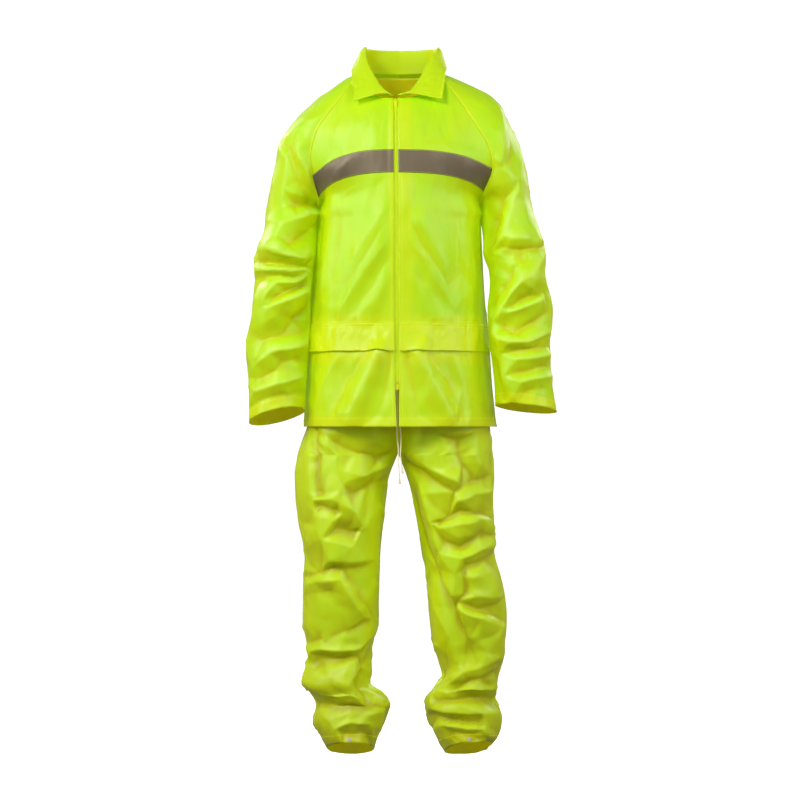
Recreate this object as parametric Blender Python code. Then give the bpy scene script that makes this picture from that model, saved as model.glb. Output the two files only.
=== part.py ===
"""Two-piece rain suit: a raglan jacket with a turned-down collar and a full front zip, and drawstring trousers, both
hollow and hanging as worn. Metres, +Z up, the front faces -Y and +X is the wearer's left. The origin is between the
shoulders, where the suit hangs from its wearer. The tables are in millimetres and degrees.

Every cloth piece is a grid of rows: the rows run across the piece and the tables give one section each, from the neck
down. Rows 0 to 7 of the jacket are the raglan part, row 7 is the underarm."""

import math

import bmesh
import bpy
import numpy as np

MM = 0.001
CLOTH = 1.5  # wall of the coated cloth with its seams, mm
COLLAR_WALL = 2.0
TAPE = 1.0  # reflective tape and zip tape
GAP = 0.3  # between pieces sewn together
UNDERARM = 7  # row of the underarm
BAND_ROWS = (5, 6)  # rows under the reflective tape
FLAP_ROWS = (13, 14)  # rows under the waist flap
ZIP_END_ROW = 15
SLEEVE_CELLS, FRONT_CELLS, BACK_CELLS, LEG_CELLS, COLLAR_CELLS = 16, 8, 16, 8, 20
CHAIN_WIDTH, CHAIN_DEPTH = 4.6, 2.0
TAPE_HIDDEN = 9.0  # width of zip tape sewn behind each front
TAPE_DROP = 1.2  # of the zip tape under the inside of the fronts
SLIDER_ROW = 0.5
CORD_D = 2.5

# Sleeves. fx fz: front seam point, which is the innermost point from the underarm down. tx tz: top or outermost point.
# yc: depth of the middle. bf bb: half depth to the front and back. al: half angle of the section. dx dz: back seam
# against the front seam. be: angle at which the front leaves the seam. tip: rise of the front over the middle.
SLEEVE_COLUMNS = ("fx", "fz", "tx", "tz", "yc", "bf", "bb", "al", "dx", "dz", "be", "tip")
SLEEVE_RIGHT = [
    (-78, 12, -87, 20, 8, 62, 58, 66, 4, 12, 50, 0),
    (-93, -8, -110, 6, 8, 82, 76, 72, 6, 12, 38, 0),
    (-125, -53, -160, -27, 7, 97, 92, 80, 8, 12, 20, 0),
    (-160, -103, -214, -80, 6, 104, 102, 88, 6, 8, 8, 0),
    (-174, -154, -243, -122, 4, 104, 106, 96, 2, 4, 8, 0),
    (-171.5, -196, -251, -161, 2, 100, 104, 110, -1, 2, 26, 0),
    (-161, -240, -262, -212, 0, 92, 95, 140, -1, 0, 62, 0),
    (-162, -262, -268, -254, 0, 86, 88, 180, 0, 0, 90, 0),
    (-171, -300, -272, -300, -16, 80, 82, 180, 0, 0, 90, 0),
    (-174, -330, -285, -338, -28, 76, 79, 180, 0, 0, 90, 0),
    (-176, -354, -293.5, -368, -36, 73, 76, 180, 0, 0, 90, 0),
    (-180, -388, -291, -402, -42, 70, 72, 180, 0, 0, 90, 0),
    (-184, -426, -295, -443, -46, 66, 68, 180, 0, 0, 90, 0),
    (-185, -466, -298, -484, -48, 63, 65, 180, 0, 0, 90, 0),
    (-187, -520, -307, -541, -50, 60, 62, 180, 0, 0, 90, 1),
    (-190, -566, -303, -588, -52, 57, 59, 180, 0, 0, 90, 4),
    (-191, -614, -302, -640, -54, 54, 56, 180, 0, 0, 90, 9),
    (-193, -668, -302, -694, -56, 50, 54, 180, 0, 0, 90, 14),
]
SLEEVE_LEFT = [
    (80, 12, 90, 22, 8, 62, 58, 66, -4, 12, 50, 0),
    (96, -8, 113, 13, 8, 82, 76, 72, -6, 12, 36, 0),
    (124, -47, 164, -12, 7, 97, 92, 80, -8, 12, 18, 0),
    (153, -91, 208, -42, 6, 104, 102, 88, -6, 8, 8, 0),
    (180, -138, 233, -90, 4, 104, 106, 96, -2, 4, 8, 0),
    (189, -182, 255, -158, 2, 100, 104, 110, 1, 2, 26, 0),
    (173, -227, 267, -212, 0, 92, 95, 140, 1, 0, 62, 0),
    (168, -252, 274, -252, 0, 86, 88, 180, 0, 0, 90, 0),
    (176, -292, 287, -299, -16, 80, 82, 180, 0, 0, 90, 0),
    (179, -325, 299, -339, -28, 76, 79, 180, 0, 0, 90, 0),
    (179, -352, 300, -367, -36, 73, 76, 180, 0, 0, 90, 0),
    (190, -386, 299, -396, -42, 70, 72, 180, 0, 0, 90, 0),
    (191, -424, 310, -443, -46, 66, 68, 180, 0, 0, 90, 0),
    (187, -462, 314, -484, -48, 63, 65, 180, 0, 0, 90, 0),
    (189, -512, 309, -527, -50, 60, 62, 180, 0, 0, 90, 1),
    (194, -562, 311, -590, -52, 57, 59, 180, 0, 0, 90, 3),
    (198, -608, 317, -632, -54, 54, 56, 180, 0, 0, 90, 6),
    (200, -659, 323, -672, -56, 50, 54, 180, 0, 0, 90, 8),
]

# Jacket body. yf zf: centre front. yb zb: centre back. xz: middle of the zip. half: half opening between the fronts.
# xr xl zs ys: side seam points, used from the underarm down. kf kb: fullness of the front and back.
BODY_COLUMNS = ("yf", "zf", "yb", "zb", "xz", "half", "xr", "xl", "zs", "ys", "kf", "kb")
BODY = [
    (-100, -42, 88, 24, -5.0, 4.5, 0, 0, 0, 0, 1.0, 1.0),
    (-112, -57, 103, -4, -4.8, 4.5, 0, 0, 0, 0, 1.0, 1.0),
    (-122, -77, 117, -40, -4.6, 4.5, 0, 0, 0, 0, 1.0, 1.0),
    (-130, -100, 127, -80, -4.4, 4.5, 0, 0, 0, 0, 1.0, 1.0),
    (-136, -125, 133, -120, -4.2, 4.5, 0, 0, 0, 0, 1.0, 1.0),
    (-140, -150, 136, -160, -4.0, 4.5, 0, 0, 0, 0, 1.0, 1.0),
    (-143, -196, 137, -202, -3.7, 4.5, 0, 0, 0, 0, 1.0, 1.0),
    (-145, -240, 137, -245, -3.4, 4.5, -162, 168, -256, 0, 1.0, 1.0),
    (-147, -285, 136, -286, -3.2, 4.5, -167, 170, -286, 6, 1.05, 1.05),
    (-148, -325, 134, -325, -3.0, 4.5, -171, 172, -325, 10, 1.08, 1.08),
    (-148, -365, 131, -365, -2.8, 4.5, -176, 174, -365, 12, 1.1, 1.1),
    (-147, -405, 129, -405, -2.6, 4.5, -181, 176, -405, 13, 1.1, 1.1),
    (-146, -450, 128, -450, -2.4, 4.5, -184, 179, -450, 14, 1.1, 1.1),
    (-147, -495, 129, -495, -2.2, 4.5, -187, 184, -495, 14, 1.1, 1.1),
    (-150, -550, 134, -550, -2.0, 4.4, -190, 189, -550, 14, 1.1, 1.1),
    (-153, -616, 139, -610, -1.8, 4.0, -191, 193, -612, 14, 1.1, 1.1),
    (-156, -645, 143, -640, -1.2, 3.4, -192, 196, -642, 14, 1.1, 1.1),
    (-158, -673, 146, -668, -0.6, 2.8, -192.5, 199, -670, 14, 1.1, 1.1),
    (-160, -701, 149, -700, 0.0, 2.2, -193, 202, -703, 14, 1.1, 1.1),
]

# Trousers, a row per section. z: height. xo: outseam. cx: middle. xi: inseam; above the fork it lies past the centre
# seam, which cuts the section. yc bf bb: as for the sleeves. so si: height of the outseam and inseam against z.
# fr: rise of the front over the back.
LEG_COLUMNS = ("z", "xo", "cx", "xi", "yc", "bf", "bb", "so", "si", "fr")
LEG_RIGHT = [
    (-445, -158, -70, 190, 5, 106, 94, 0, 0, 0),
    (-500, -166, -78, 180, 6, 110, 97, 0, 0, 0),
    (-560, -173, -84, 150, 7, 113, 100, 0, 0, 0),
    (-615, -177, -90, 108, 8, 115, 103, 0, 0, 0),
    (-662, -181, -94, 64, 8, 115, 107, 0, 0, 0),
    (-700, -186, -97, 30, 8, 115, 110, 0, 0, 0),
    (-734, -198, -101, 9, 8, 114, 114, 0, 0, 0),
    (-761, -206, -105, -1.5, 7, 112, 116, 0, 0, 0),
    (-810, -211, -115, -20, 6, 112, 114, 0, 0, 0),
    (-860, -209, -119, -26, 5, 110, 109, 0, 0, 0),
    (-910, -202, -118, -31, 3, 106, 104, 0, 0, 0),
    (-960, -192, -115, -36, 1, 102, 98, 0, 0, 0),
    (-1010, -194, -116, -38, -2, 99, 93, 0, 0, 0),
    (-1060, -195, -117, -39, -4, 96, 90, 0, 0, 0),
    (-1108, -195, -118, -40, -4, 91, 89, 0, 0, 0),
    (-1145, -185, -117, -51, -2, 86, 89, 0, 0, 0),
    (-1180, -183, -119, -55, 0, 86, 92, 0, -2, 4),
    (-1224, -198, -128, -59, 0, 94, 98, 0, -6, 8),
    (-1250, -182, -106, -32, 0, 84, 93, 4, -2, 10),
    (-1274, -169, -93, -17, 0, 92, 99, 4, 2, 10),
    (-1306, -173, -99, -26, 0, 86, 96, 0, 0, 12),
    (-1337, -159, -98, -41, -1, 88, 94, 0, 0, 16),
    (-1362, -145, -96, -49, -2, 89, 93, 0, 0, 26),
]
LEG_LEFT = [
    (-445, 158, 70, -190, 5, 106, 94, 0, 0, 0),
    (-500, 166, 78, -180, 6, 110, 97, 0, 0, 0),
    (-560, 173, 84, -150, 7, 113, 100, 0, 0, 0),
    (-615, 178, 90, -108, 8, 115, 103, 0, 0, 0),
    (-662, 183, 94, -64, 8, 115, 107, 0, 0, 0),
    (-700, 188, 97, -30, 8, 115, 110, 0, 0, 0),
    (-734, 192, 100, -9, 8, 114, 114, 0, 0, 0),
    (-761, 194, 102, 1.5, 7, 112, 116, 0, 0, 0),
    (-810, 197, 109, 20, 6, 112, 114, 0, 0, 0),
    (-860, 195, 114, 32, 5, 110, 109, 0, 0, 0),
    (-910, 198, 120, 42, 3, 106, 104, 0, 0, 0),
    (-960, 197, 124, 52, 1, 102, 98, 0, 0, 0),
    (-1010, 211, 136, 61, -2, 99, 93, 0, 0, 0),
    (-1060, 221, 142, 65, -4, 96, 90, 0, 0, 0),
    (-1108, 223, 145, 67, -4, 91, 89, 0, 0, 0),
    (-1145, 219, 146, 71, -2, 86, 89, 0, 0, 0),
    (-1180, 216, 149, 82, 0, 86, 92, 0, -2, 4),
    (-1212, 207, 148, 90, 0, 92, 98, 0, -4, 8),
    (-1240, 203, 139, 73, 0, 85, 93, 4, 0, 10),
    (-1267, 200, 128, 55, 0, 92, 99, 4, 0, 10),
    (-1297, 213, 137, 61, 0, 87, 96, 2, 0, 12),
    (-1332, 207, 140, 77, -1, 88, 94, 2, -2, 16),
    (-1362, 192, 144, 97, -2, 89, 93, 10, -6, 26),
]

# Collar, a row per station from the front end round to the back. at: place along the half neckline, 0 at the zip and
# 1 at the centre back. fold x y z: the turned top. edge x y z: the free edge of the fall. lift: height of the fall's
# middle over a straight line from fold to edge.
COLLAR_COLUMNS = ("at", "x", "y", "z", "ex", "ey", "ez", "lift")
COLLAR_RIGHT = [
    (0.0, -11, -109, -38, -87, -114, -51, 9),
    (0.16, -33, -95, -5, -96, -96, -22, 8),
    (0.34, -57, -55, 40, -101, -48, 16, 7),
    (0.52, -65, -10, 72, -99, 6, 30, 7),
    (0.68, -61, 34, 77, -92, 60, 26, 7),
    (0.84, -38, 66, 79, -58, 98, 22, 7),
    (1.0, 4, 77, 80, 2, 112, 16, 7),
]
COLLAR_LEFT = [
    (0.0, 1, -109, -38, 89, -114, -47, 9),
    (0.16, 29, -95, -8, 97, -96, -20, 8),
    (0.34, 61, -52, 41, 104, -48, 19, 7),
    (0.52, 81, -8, 71, 106, 6, 33, 7),
    (0.68, 74, 36, 77, 97, 60, 28, 7),
    (0.84, 47, 67, 79, 60, 98, 22, 7),
    (1.0, 4, 77, 80, 2, 112, 16, 7),
]

# Largest folds. x0 z0 x1 z1: the line of the fold. w: half width. h: height, + out of the cloth. face: -1 front, 1 back.
FOLD_COLUMNS = ("x0", "z0", "x1", "z1", "w", "h", "face")
JACKET_FOLDS = [
    (-30, -310, -118, -455, 42, 6, -1),
    (-14, -400, -70, -480, 34, 5, -1),
    (-118, -190, -140, -420, 38, 6, -1),
    (40, -300, 120, -440, 44, 6, -1),
    (20, -390, 80, -480, 34, 4, -1),
    (-45, -560, -100, -690, 40, 9, -1),
    (50, -560, 110, -690, 42, 8, -1),
    (172, -455, 180, -700, 30, -7, -1),
    (-60, -180, -120, -440, 46, 7, 1),
    (70, -190, 110, -450, 46, 6, 1),
    (0, -330, 10, -600, 44, 6, 1),
    (-90, -540, -120, -700, 40, 8, 1),
    (80, -560, 120, -700, 40, 8, 1),
    (-282, -330, -200, -352, 26, 5, -1),
    (-275, -400, -205, -420, 28, -6, -1),
    (-290, -500, -210, -470, 30, 5, -1),
    (292, -345, 205, -335, 26, 5, -1),
    (285, -430, 215, -500, 30, -6, -1),
    (300, -560, 220, -520, 30, 5, -1),
    (-286, -350, -200, -375, 30, 7, 1),
    (290, -350, 210, -380, 30, 7, 1),
]
TROUSER_FOLDS = [
    (-165, -720, -135, -960, 40, 7, -1),
    (-60, -720, -95, -880, 38, 6, -1),
    (-150, -1000, -70, -1060, 34, 6, -1),
    (-90, -1170, -92, -1250, 30, 7, -1),
    (20, -780, 75, -985, 38, -6, -1),
    (110, -810, 150, -900, 38, 6, -1),
    (75, -985, 140, -1130, 34, 8, -1),
    (160, -1030, 210, -1090, 34, -6, -1),
    (-120, -760, -130, -1000, 42, 6, 1),
    (-160, -1060, -70, -1090, 34, 7, 1),
    (-150, -1190, -70, -1200, 30, 6, 1),
    (120, -770, 130, -1000, 42, 6, 1),
    (90, -1060, 200, -1080, 34, 7, 1),
    (100, -1190, 200, -1180, 30, 6, 1),
]

# Cord ends, a row per bend. x y z of the middle of the cord.
CORD_COLUMNS = ("x", "y", "z")
CORD_RIGHT = [(-14, -109.5, -425), (-14, -116, -432), (-10, -121, -460), (-5, -126, -560), (-1, -131, -670), (-2.4, -133, -716), (0.2, -133.5, -742), (1.0, -134, -757), (1.6, -133, -775), (3.1, -132, -803)]
CORD_LEFT = [(14, -109.5, -425), (14, -116, -432), (10, -121, -460), (7, -126, -560), (3.6, -131, -670), (5.6, -133, -716), (6.0, -133.5, -735), (4.8, -134, -757), (6.4, -133, -770), (8.0, -132, -782)]
TIP_D, TIP_LENGTH = 5.0, 11.0

STUD_D, STUD_DEPTH = 8.0, 1.8

COLOURS = {
    "cloth": ((0.60, 0.92, 0.02), 0.0, 0.45),
    "reflective": ((0.30, 0.29, 0.25), 0.1, 0.4),
    "zip": ((0.80, 0.95, 0.05), 0.0, 0.5),
    "metal": ((0.62, 0.64, 0.62), 1.0, 0.35),
    "cord": ((0.90, 0.82, 0.55), 0.0, 0.8),
}

for old in list(bpy.data.objects):
    bpy.data.objects.remove(old, do_unlink=True)


# ---------------------------------------------------------------- tables and curves


def column(table, columns, name, r):
    """The named column at row r, smooth between rows."""
    y = np.array([row[columns.index(name)] for row in table], float)
    i = np.clip(np.floor(r).astype(int), 0, len(y) - 2)
    t = r - i
    a, b, c, d = y[np.maximum(i - 1, 0)], y[i], y[i + 1], y[np.minimum(i + 2, len(y) - 1)]
    m, n = (c - a) / 2, (d - b) / 2
    return (
        (2 * t**3 - 3 * t**2 + 1) * b
        + (t**3 - 2 * t**2 + t) * m
        + (3 * t**2 - 2 * t**3) * c
        + (t**3 - t**2) * n
    )


def bezier(p, t):
    s = 1 - t
    return s**3 * p[0] + 3 * s * s * t * p[1] + 3 * s * t * t * p[2] + t**3 * p[3]


def folds(points, table):
    """Pushes the points out or in along the folds of a table."""
    out = points.copy()
    x, y, z = points[..., 0], points[..., 1], points[..., 2]
    for x0, z0, x1, z1, w, h, face in table:
        ax, az = x1 - x0, z1 - z0
        t = np.clip(((x - x0) * ax + (z - z0) * az) / (ax * ax + az * az), 0, 1)
        d = np.hypot(x - x0 - t * ax, z - z0 - t * az) / w
        facing = np.clip((y * face - 5) / 55, 0, 1)
        if face < 0:  # flat along the front opening
            facing = facing * np.clip((np.abs(x) - 8) / 34, 0, 1)
        out[..., 1] += face * h * np.cos(np.minimum(d, 1) * math.pi / 2) ** 2 * facing * facing * (3 - 2 * facing)
    return out


# ---------------------------------------------------------------- surfaces of the cloth, outer face, mm


def sleeve(table, r, u, gap=GAP):
    """Sleeve at row r, u 0 at the front seam over the top to 1 at the back seam."""
    c = {n: column(table, SLEEVE_COLUMNS, n, r) for n in SLEEVE_COLUMNS}
    out = np.sign(table[0][0])
    al = np.radians(np.where(r >= UNDERARM, 180, np.minimum(c["al"], 180)))
    th = (2 * u - 1) * al
    front = th < 0
    ix = c["fx"] + np.where(front, 0, c["dx"]) + out * gap
    iz = c["fz"] + np.where(front, 0, c["dz"])
    k = (np.cos(th) - np.cos(al)) / (1 - np.cos(al))
    half = np.where(front, c["bf"], c["bb"])
    y = c["yc"] + half * np.sin(th)
    z = iz + (c["tz"] - iz) * k + c["tip"] * (c["yc"] - y) / half
    return np.stack([ix + (c["tx"] - ix) * k, y, z], -1)


def seam(table, r, back):
    """Raglan seam to the underarm, then side seam."""
    side = np.where(table[0][0] < 0, -1, 1)
    upper = sleeve(table, np.minimum(r, UNDERARM), np.full_like(r, 1.0 if back else 0.0), 0)
    x = column(BODY, BODY_COLUMNS, "xr" if side < 0 else "xl", r)
    lower = np.stack([x, column(BODY, BODY_COLUMNS, "ys", r), column(BODY, BODY_COLUMNS, "zs", r)], -1)
    # the body rows open out of the underarm point
    first = np.array([table[UNDERARM][0], table[UNDERARM][4], table[UNDERARM][1]], float)
    blend = np.clip(r - UNDERARM, 0, 1)[..., None]
    lower = np.where(blend < 1, first + (np.stack([x, column(BODY, BODY_COLUMNS, "ys", r), column(BODY, BODY_COLUMNS, "zs", r)], -1) - first) * blend, lower)
    return np.where((r <= UNDERARM)[..., None], upper, lower)


def half_body(table, r, u, back):
    """Front or half back at row r, u 0 at the seam to 1 at the centre."""
    out = np.sign(table[0][0])
    s = seam(table, r, back)
    b = {n: column(BODY, BODY_COLUMNS, n, r) for n in BODY_COLUMNS}
    be = np.radians(np.where(r >= UNDERARM, 90, column(table, SLEEVE_COLUMNS, "be", np.minimum(r, UNDERARM))))
    s = s - np.stack([out * GAP + 0 * r, 0 * r, 0 * r], -1)
    face = 1 if back else -1
    s[..., 1] += face * GAP / 2 * (r >= UNDERARM)
    cx = 0 * r if back else b["xz"] + out * b["half"]
    cy, cz, k = (b["yb"], b["zb"], b["kb"]) if back else (b["yf"], b["zf"], b["kf"])
    w, d = np.abs(s[..., 0] - cx), np.abs(cy - s[..., 1])
    reach = 0.36 * w * np.cos(be) ** 2 + 0.56 * k * d * np.sin(be) ** 2
    p = [
        s,
        np.stack([s[..., 0] - out * reach * np.cos(be), s[..., 1] + face * reach * np.sin(be), s[..., 2] + (cz - s[..., 2]) * (0.8 if not back else 0.4)], -1),
        np.stack([cx + out * 0.5 * k * w, cy, cz], -1),
        np.stack([cx, cy, cz], -1),
    ]
    return bezier(p, u[..., None])


def leg(table, r, u, back):
    """Half of a trouser leg at row r, u 0 at the centre seam or inseam to 1 at the outseam."""
    c = {n: column(table, LEG_COLUMNS, n, r) for n in LEG_COLUMNS}
    out = np.sign(table[0][1])
    inner, outer = np.abs(c["xi"] - c["cx"]), np.abs(c["xo"] - c["cx"])
    cut = np.arccos(np.clip((np.abs(c["cx"]) - GAP / 2) / inner, -1, 1))
    a = cut + (math.pi - cut) * u
    face = 1 if back else -1
    x = c["cx"] - out * np.cos(a) * np.where(a < math.pi / 2, inner, outer)
    half = c["bb"] if back else c["bf"]
    y = c["yc"] + face * (half * np.sin(a) + GAP / 2)
    z = c["z"] + np.where(np.cos(a) < 0, c["so"], c["si"]) * np.cos(a) ** 2 - c["fr"] * face * np.sin(a)
    return np.stack([x, y, z], -1)


def neckline(table, t):
    """Half of the neck seam, t 0 at the zip to 1 at the centre back."""
    zero = np.zeros_like(t)
    front = half_body(table, zero, 1 - np.clip(t / 0.38, 0, 1), False)
    cap = sleeve(table, zero, np.clip((t - 0.38) / 0.3, 0, 1), 0)
    back = half_body(table, zero, np.clip((t - 0.68) / 0.32, 0, 1), True)
    return np.where((t < 0.38)[..., None], front, np.where((t < 0.68)[..., None], cap, back))


def collar(table, t, v):
    """Half collar, t 0 at the front end to 1 at the centre back, v 0 at the neck seam, 0.4 at the turned top, 1 at the
    free edge. The outer face is the one that shows, which is the wearer's side of the stand."""
    row = np.interp(t, [q[0] for q in table], range(len(table)))
    c = {n: column(table, COLLAR_COLUMNS, n, row) for n in COLLAR_COLUMNS}
    base = neckline(table=SLEEVE_RIGHT if table is COLLAR_RIGHT else SLEEVE_LEFT, t=t)
    base = base * np.array([0.95, 0.94, 1]) + np.array([0, 0, 7.0])
    fold = np.stack([c["x"], c["y"], c["z"]], -1)
    edge = np.stack([c["ex"], c["ey"], c["ez"]], -1)
    stand = base + (fold - base) * np.clip(v / 0.4, 0, 1)[..., None]
    q = np.clip((v - 0.4) / 0.6, 0, 1)
    away = edge - fold
    away[..., 2] = 0
    away /= np.maximum(np.linalg.norm(away, axis=-1), 1e-6)[..., None]
    up = np.array([0, 0, 1.0])
    bulge = np.sqrt(np.maximum(q * (1 - q), 0)) * 2
    fall = fold + (edge - fold) * q[..., None] + away * (0.55 * c["lift"] * bulge)[..., None] + up * (c["lift"] * bulge * (1 - q))[..., None]
    return np.where((v <= 0.4)[..., None], stand, fall)


# ---------------------------------------------------------------- solids


def material(name):
    m = bpy.data.materials.get(name)
    if m is None:
        colour, metal, rough = COLOURS[name.split(".")[0]]
        m = bpy.data.materials.new(name)
        m.use_nodes = True
        s = m.node_tree.nodes["Principled BSDF"]
        s.inputs["Base Color"].default_value = (*colour, 1)
        s.inputs["Metallic"].default_value = metal
        s.inputs["Roughness"].default_value = rough
    return m


def make(name, verts, faces, kind):
    """One closed body from vertices in mm."""
    bm = bmesh.new()
    vs = [bm.verts.new(tuple(float(q) * MM for q in v)) for v in verts]
    for f in faces:
        bm.faces.new([vs[i] for i in f])
    bmesh.ops.recalc_face_normals(bm, faces=bm.faces)
    if bm.calc_volume(signed=True) < 0:
        bmesh.ops.reverse_faces(bm, faces=bm.faces)
    bmesh.ops.triangulate(bm, faces=[f for f in bm.faces if len(f.verts) > 3])
    me = bpy.data.meshes.new(name)
    bm.to_mesh(me)
    bm.free()
    ob = bpy.data.objects.new(name, me)
    bpy.context.scene.collection.objects.link(ob)
    m = material(kind).copy()
    m.name = f"{kind}.{name}"
    me.materials.append(m)
    return ob


def grid_faces(rows, cols, wrap_from=None):
    """Triangles of a grid; from row wrap_from the last column is the first."""
    def at(i, j):
        return i * cols + (0 if wrap_from is not None and i >= wrap_from and j == cols - 1 else j)

    faces = []
    for i in range(rows - 1):
        for j in range(cols - 1):
            a, b, c, d = at(i, j), at(i, j + 1), at(i + 1, j + 1), at(i + 1, j)
            faces += [t for t in ((a, b, c), (a, c, d)) if len(set(t)) == 3]
    return faces


def normals(points, faces):
    n = np.zeros_like(points)
    for a, b, c in faces:
        cross = np.cross(points[b] - points[a], points[c] - points[a])
        for k in (a, b, c):
            n[k] += cross
    return n / np.maximum(np.linalg.norm(n, axis=1), 1e-12)[:, None]


def grid_normals(grid, middle, wrap_from=None):
    """Outward normals of a grid; middle is a point of the hollow in each row, or +1 or -1 for a given side."""
    rows, cols = grid.shape[:2]
    p = grid.reshape(-1, 3)
    n = normals(p, grid_faces(rows, cols, wrap_from)).reshape(rows, cols, 3)
    if wrap_from is not None:
        n[wrap_from:, -1] = n[wrap_from:, 0]
    if np.isscalar(middle):
        return n * middle
    lean = np.einsum("ijk,ijk->", n, grid - middle[:, None])
    return n if lean > 0 else -n


def wall(name, grid, n, thickness, kind="cloth", wrap_from=None, ease=GAP):
    """A cloth wall of the thickness under the outer face grid."""
    rows, cols = grid.shape[:2]
    inner = grid - n * thickness
    for edge, near in ((0, 1), (-1, -2)):
        stop = rows if wrap_from is None else wrap_from
        d = grid[:stop, near] - grid[:stop, edge]
        inner[:stop, edge] += d / np.linalg.norm(d, axis=1)[:, None] * ease
    faces = grid_faces(rows, cols, wrap_from)
    count = rows * cols
    used = {}
    for f in faces:
        for k in range(3):
            e = (f[k], f[(k + 1) % 3])
            used[e] = used.get(e, 0) + 1
    rim = [e for e in used if (e[1], e[0]) not in used]
    full = list(faces) + [(c + count, b + count, a + count) for a, b, c in faces]
    for a, b in rim:
        full += [(b, a, a + count), (b, a + count, b + count)]
    keep = sorted({k for f in full for k in f})
    index = {k: i for i, k in enumerate(keep)}
    verts = np.concatenate([grid.reshape(-1, 3), inner.reshape(-1, 3)])
    return make(name, verts[keep], [tuple(index[k] for k in f) for f in full], kind)


def rows_cols(rows, cols):
    return np.meshgrid(np.asarray(rows, float), np.linspace(0, 1, cols + 1), indexing="ij")


def strip(name, grid, n, out, thickness, kind):
    """A piece that lies on a panel's points: its under face is out above them."""
    return wall(name, grid + n * (out + thickness), n, thickness, kind, ease=0)


def tube(name, path, diameter, kind, sides=6):
    path = np.array(path, float)
    rings = []
    for i, p in enumerate(path):
        t = path[min(i + 1, len(path) - 1)] - path[max(i - 1, 0)]
        t /= np.linalg.norm(t)
        a = np.cross(t, [0, 1, 0.01])
        a /= np.linalg.norm(a)
        b = np.cross(t, a)
        ang = np.arange(sides) * 2 * math.pi / sides
        rings.append(p + (np.cos(ang)[:, None] * a + np.sin(ang)[:, None] * b) * diameter / 2)
    verts = np.concatenate(rings)
    faces = [tuple(range(sides)), tuple(range(len(verts) - 1, len(verts) - 1 - sides, -1))]
    for i in range(len(path) - 1):
        for j in range(sides):
            k = (j + 1) % sides
            faces.append((i * sides + j, i * sides + k, (i + 1) * sides + k, (i + 1) * sides + j))
    return make(name, verts, faces, kind)


def box(name, low, high, kind):
    v = [(x, y, z) for x in (low[0], high[0]) for y in (low[1], high[1]) for z in (low[2], high[2])]
    f = [(0, 1, 3, 2), (4, 6, 7, 5), (0, 4, 5, 1), (2, 3, 7, 6), (0, 2, 6, 4), (1, 5, 7, 3)]
    return make(name, v, f, kind)


def framed(name, outer, window, low, high, kind):
    """A plate with a window, both outlines with the same number of corners (x, z), between two depths y."""
    n = len(outer)
    v = [(x, low, z) for x, z in outer] + [(x, low, z) for x, z in window]
    v += [(x, high, z) for x, z in outer] + [(x, high, z) for x, z in window]
    f = []
    for i in range(n):
        j = (i + 1) % n
        f += [(i, j, n + j, n + i), (2 * n + i, 3 * n + i, 3 * n + j, 2 * n + j)]
        f += [(i, 2 * n + i, 2 * n + j, j), (n + i, n + j, 3 * n + j, 3 * n + i)]
    return make(name, v, f, kind)


# ---------------------------------------------------------------- jacket

JACKET_ROWS = np.arange(len(BODY))
BODY_AXIS = np.stack([0 * JACKET_ROWS, 0 * JACKET_ROWS, np.array([b[1] for b in BODY])], -1).astype(float)

fronts = {}
for side, table in (("right", SLEEVE_RIGHT), ("left", SLEEVE_LEFT)):
    rows = np.arange(len(table))
    r, u = rows_cols(rows, SLEEVE_CELLS)
    grid = folds(sleeve(table, r, u), JACKET_FOLDS)
    middle = grid.mean(axis=1)
    middle[:UNDERARM] = [[(q[0] + q[2]) / 2, 0, q[1] - 30] for q in table[:UNDERARM]]
    grid[UNDERARM:, -1] = grid[UNDERARM:, 0]
    wall(f"sleeve_{side}", grid, grid_normals(grid, middle, UNDERARM), CLOTH, wrap_from=UNDERARM)

    r, u = rows_cols(JACKET_ROWS, FRONT_CELLS)
    grid = folds(half_body(table, r, u, False), JACKET_FOLDS)
    n = grid_normals(grid, BODY_AXIS)
    fronts[side] = (grid, n)
    wall(f"jacket_front_{side}", grid, n, CLOTH)

    a, b = BAND_ROWS
    strip(f"reflective_band_{side}", grid[a : b + 1, :], n[a : b + 1, :], GAP, TAPE, "reflective")
    a, b = FLAP_ROWS
    hang = grid[a : b + 1].copy()
    hang[-1] += n[b] * 2.5
    strip(f"waist_flap_{side}", hang, n[a : b + 1], GAP, CLOTH, "cloth")

r, u = rows_cols(JACKET_ROWS, BACK_CELLS // 2)
halves = [folds(half_body(t, r, u, True), JACKET_FOLDS) for t in (SLEEVE_RIGHT, SLEEVE_LEFT)]
grid = np.concatenate([halves[0], halves[1][:, -2::-1]], axis=1)
wall("jacket_back", grid, grid_normals(grid, BODY_AXIS), CLOTH)

# collar
V = (0.0, 0.2, 0.4, 0.5, 0.66, 0.83, 1.0)
half = COLLAR_CELLS // 2
t, v = np.meshgrid(np.linspace(0, 1, half + 1), V, indexing="ij")
right, left = collar(COLLAR_RIGHT, t, v), collar(COLLAR_LEFT, t, v)
grid = np.concatenate([right, left[-2::-1]])
n = grid_normals(grid, 1)
if n[half, 3, 2] < 0:
    n = -n
wall("collar", grid, n, COLLAR_WALL)

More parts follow.
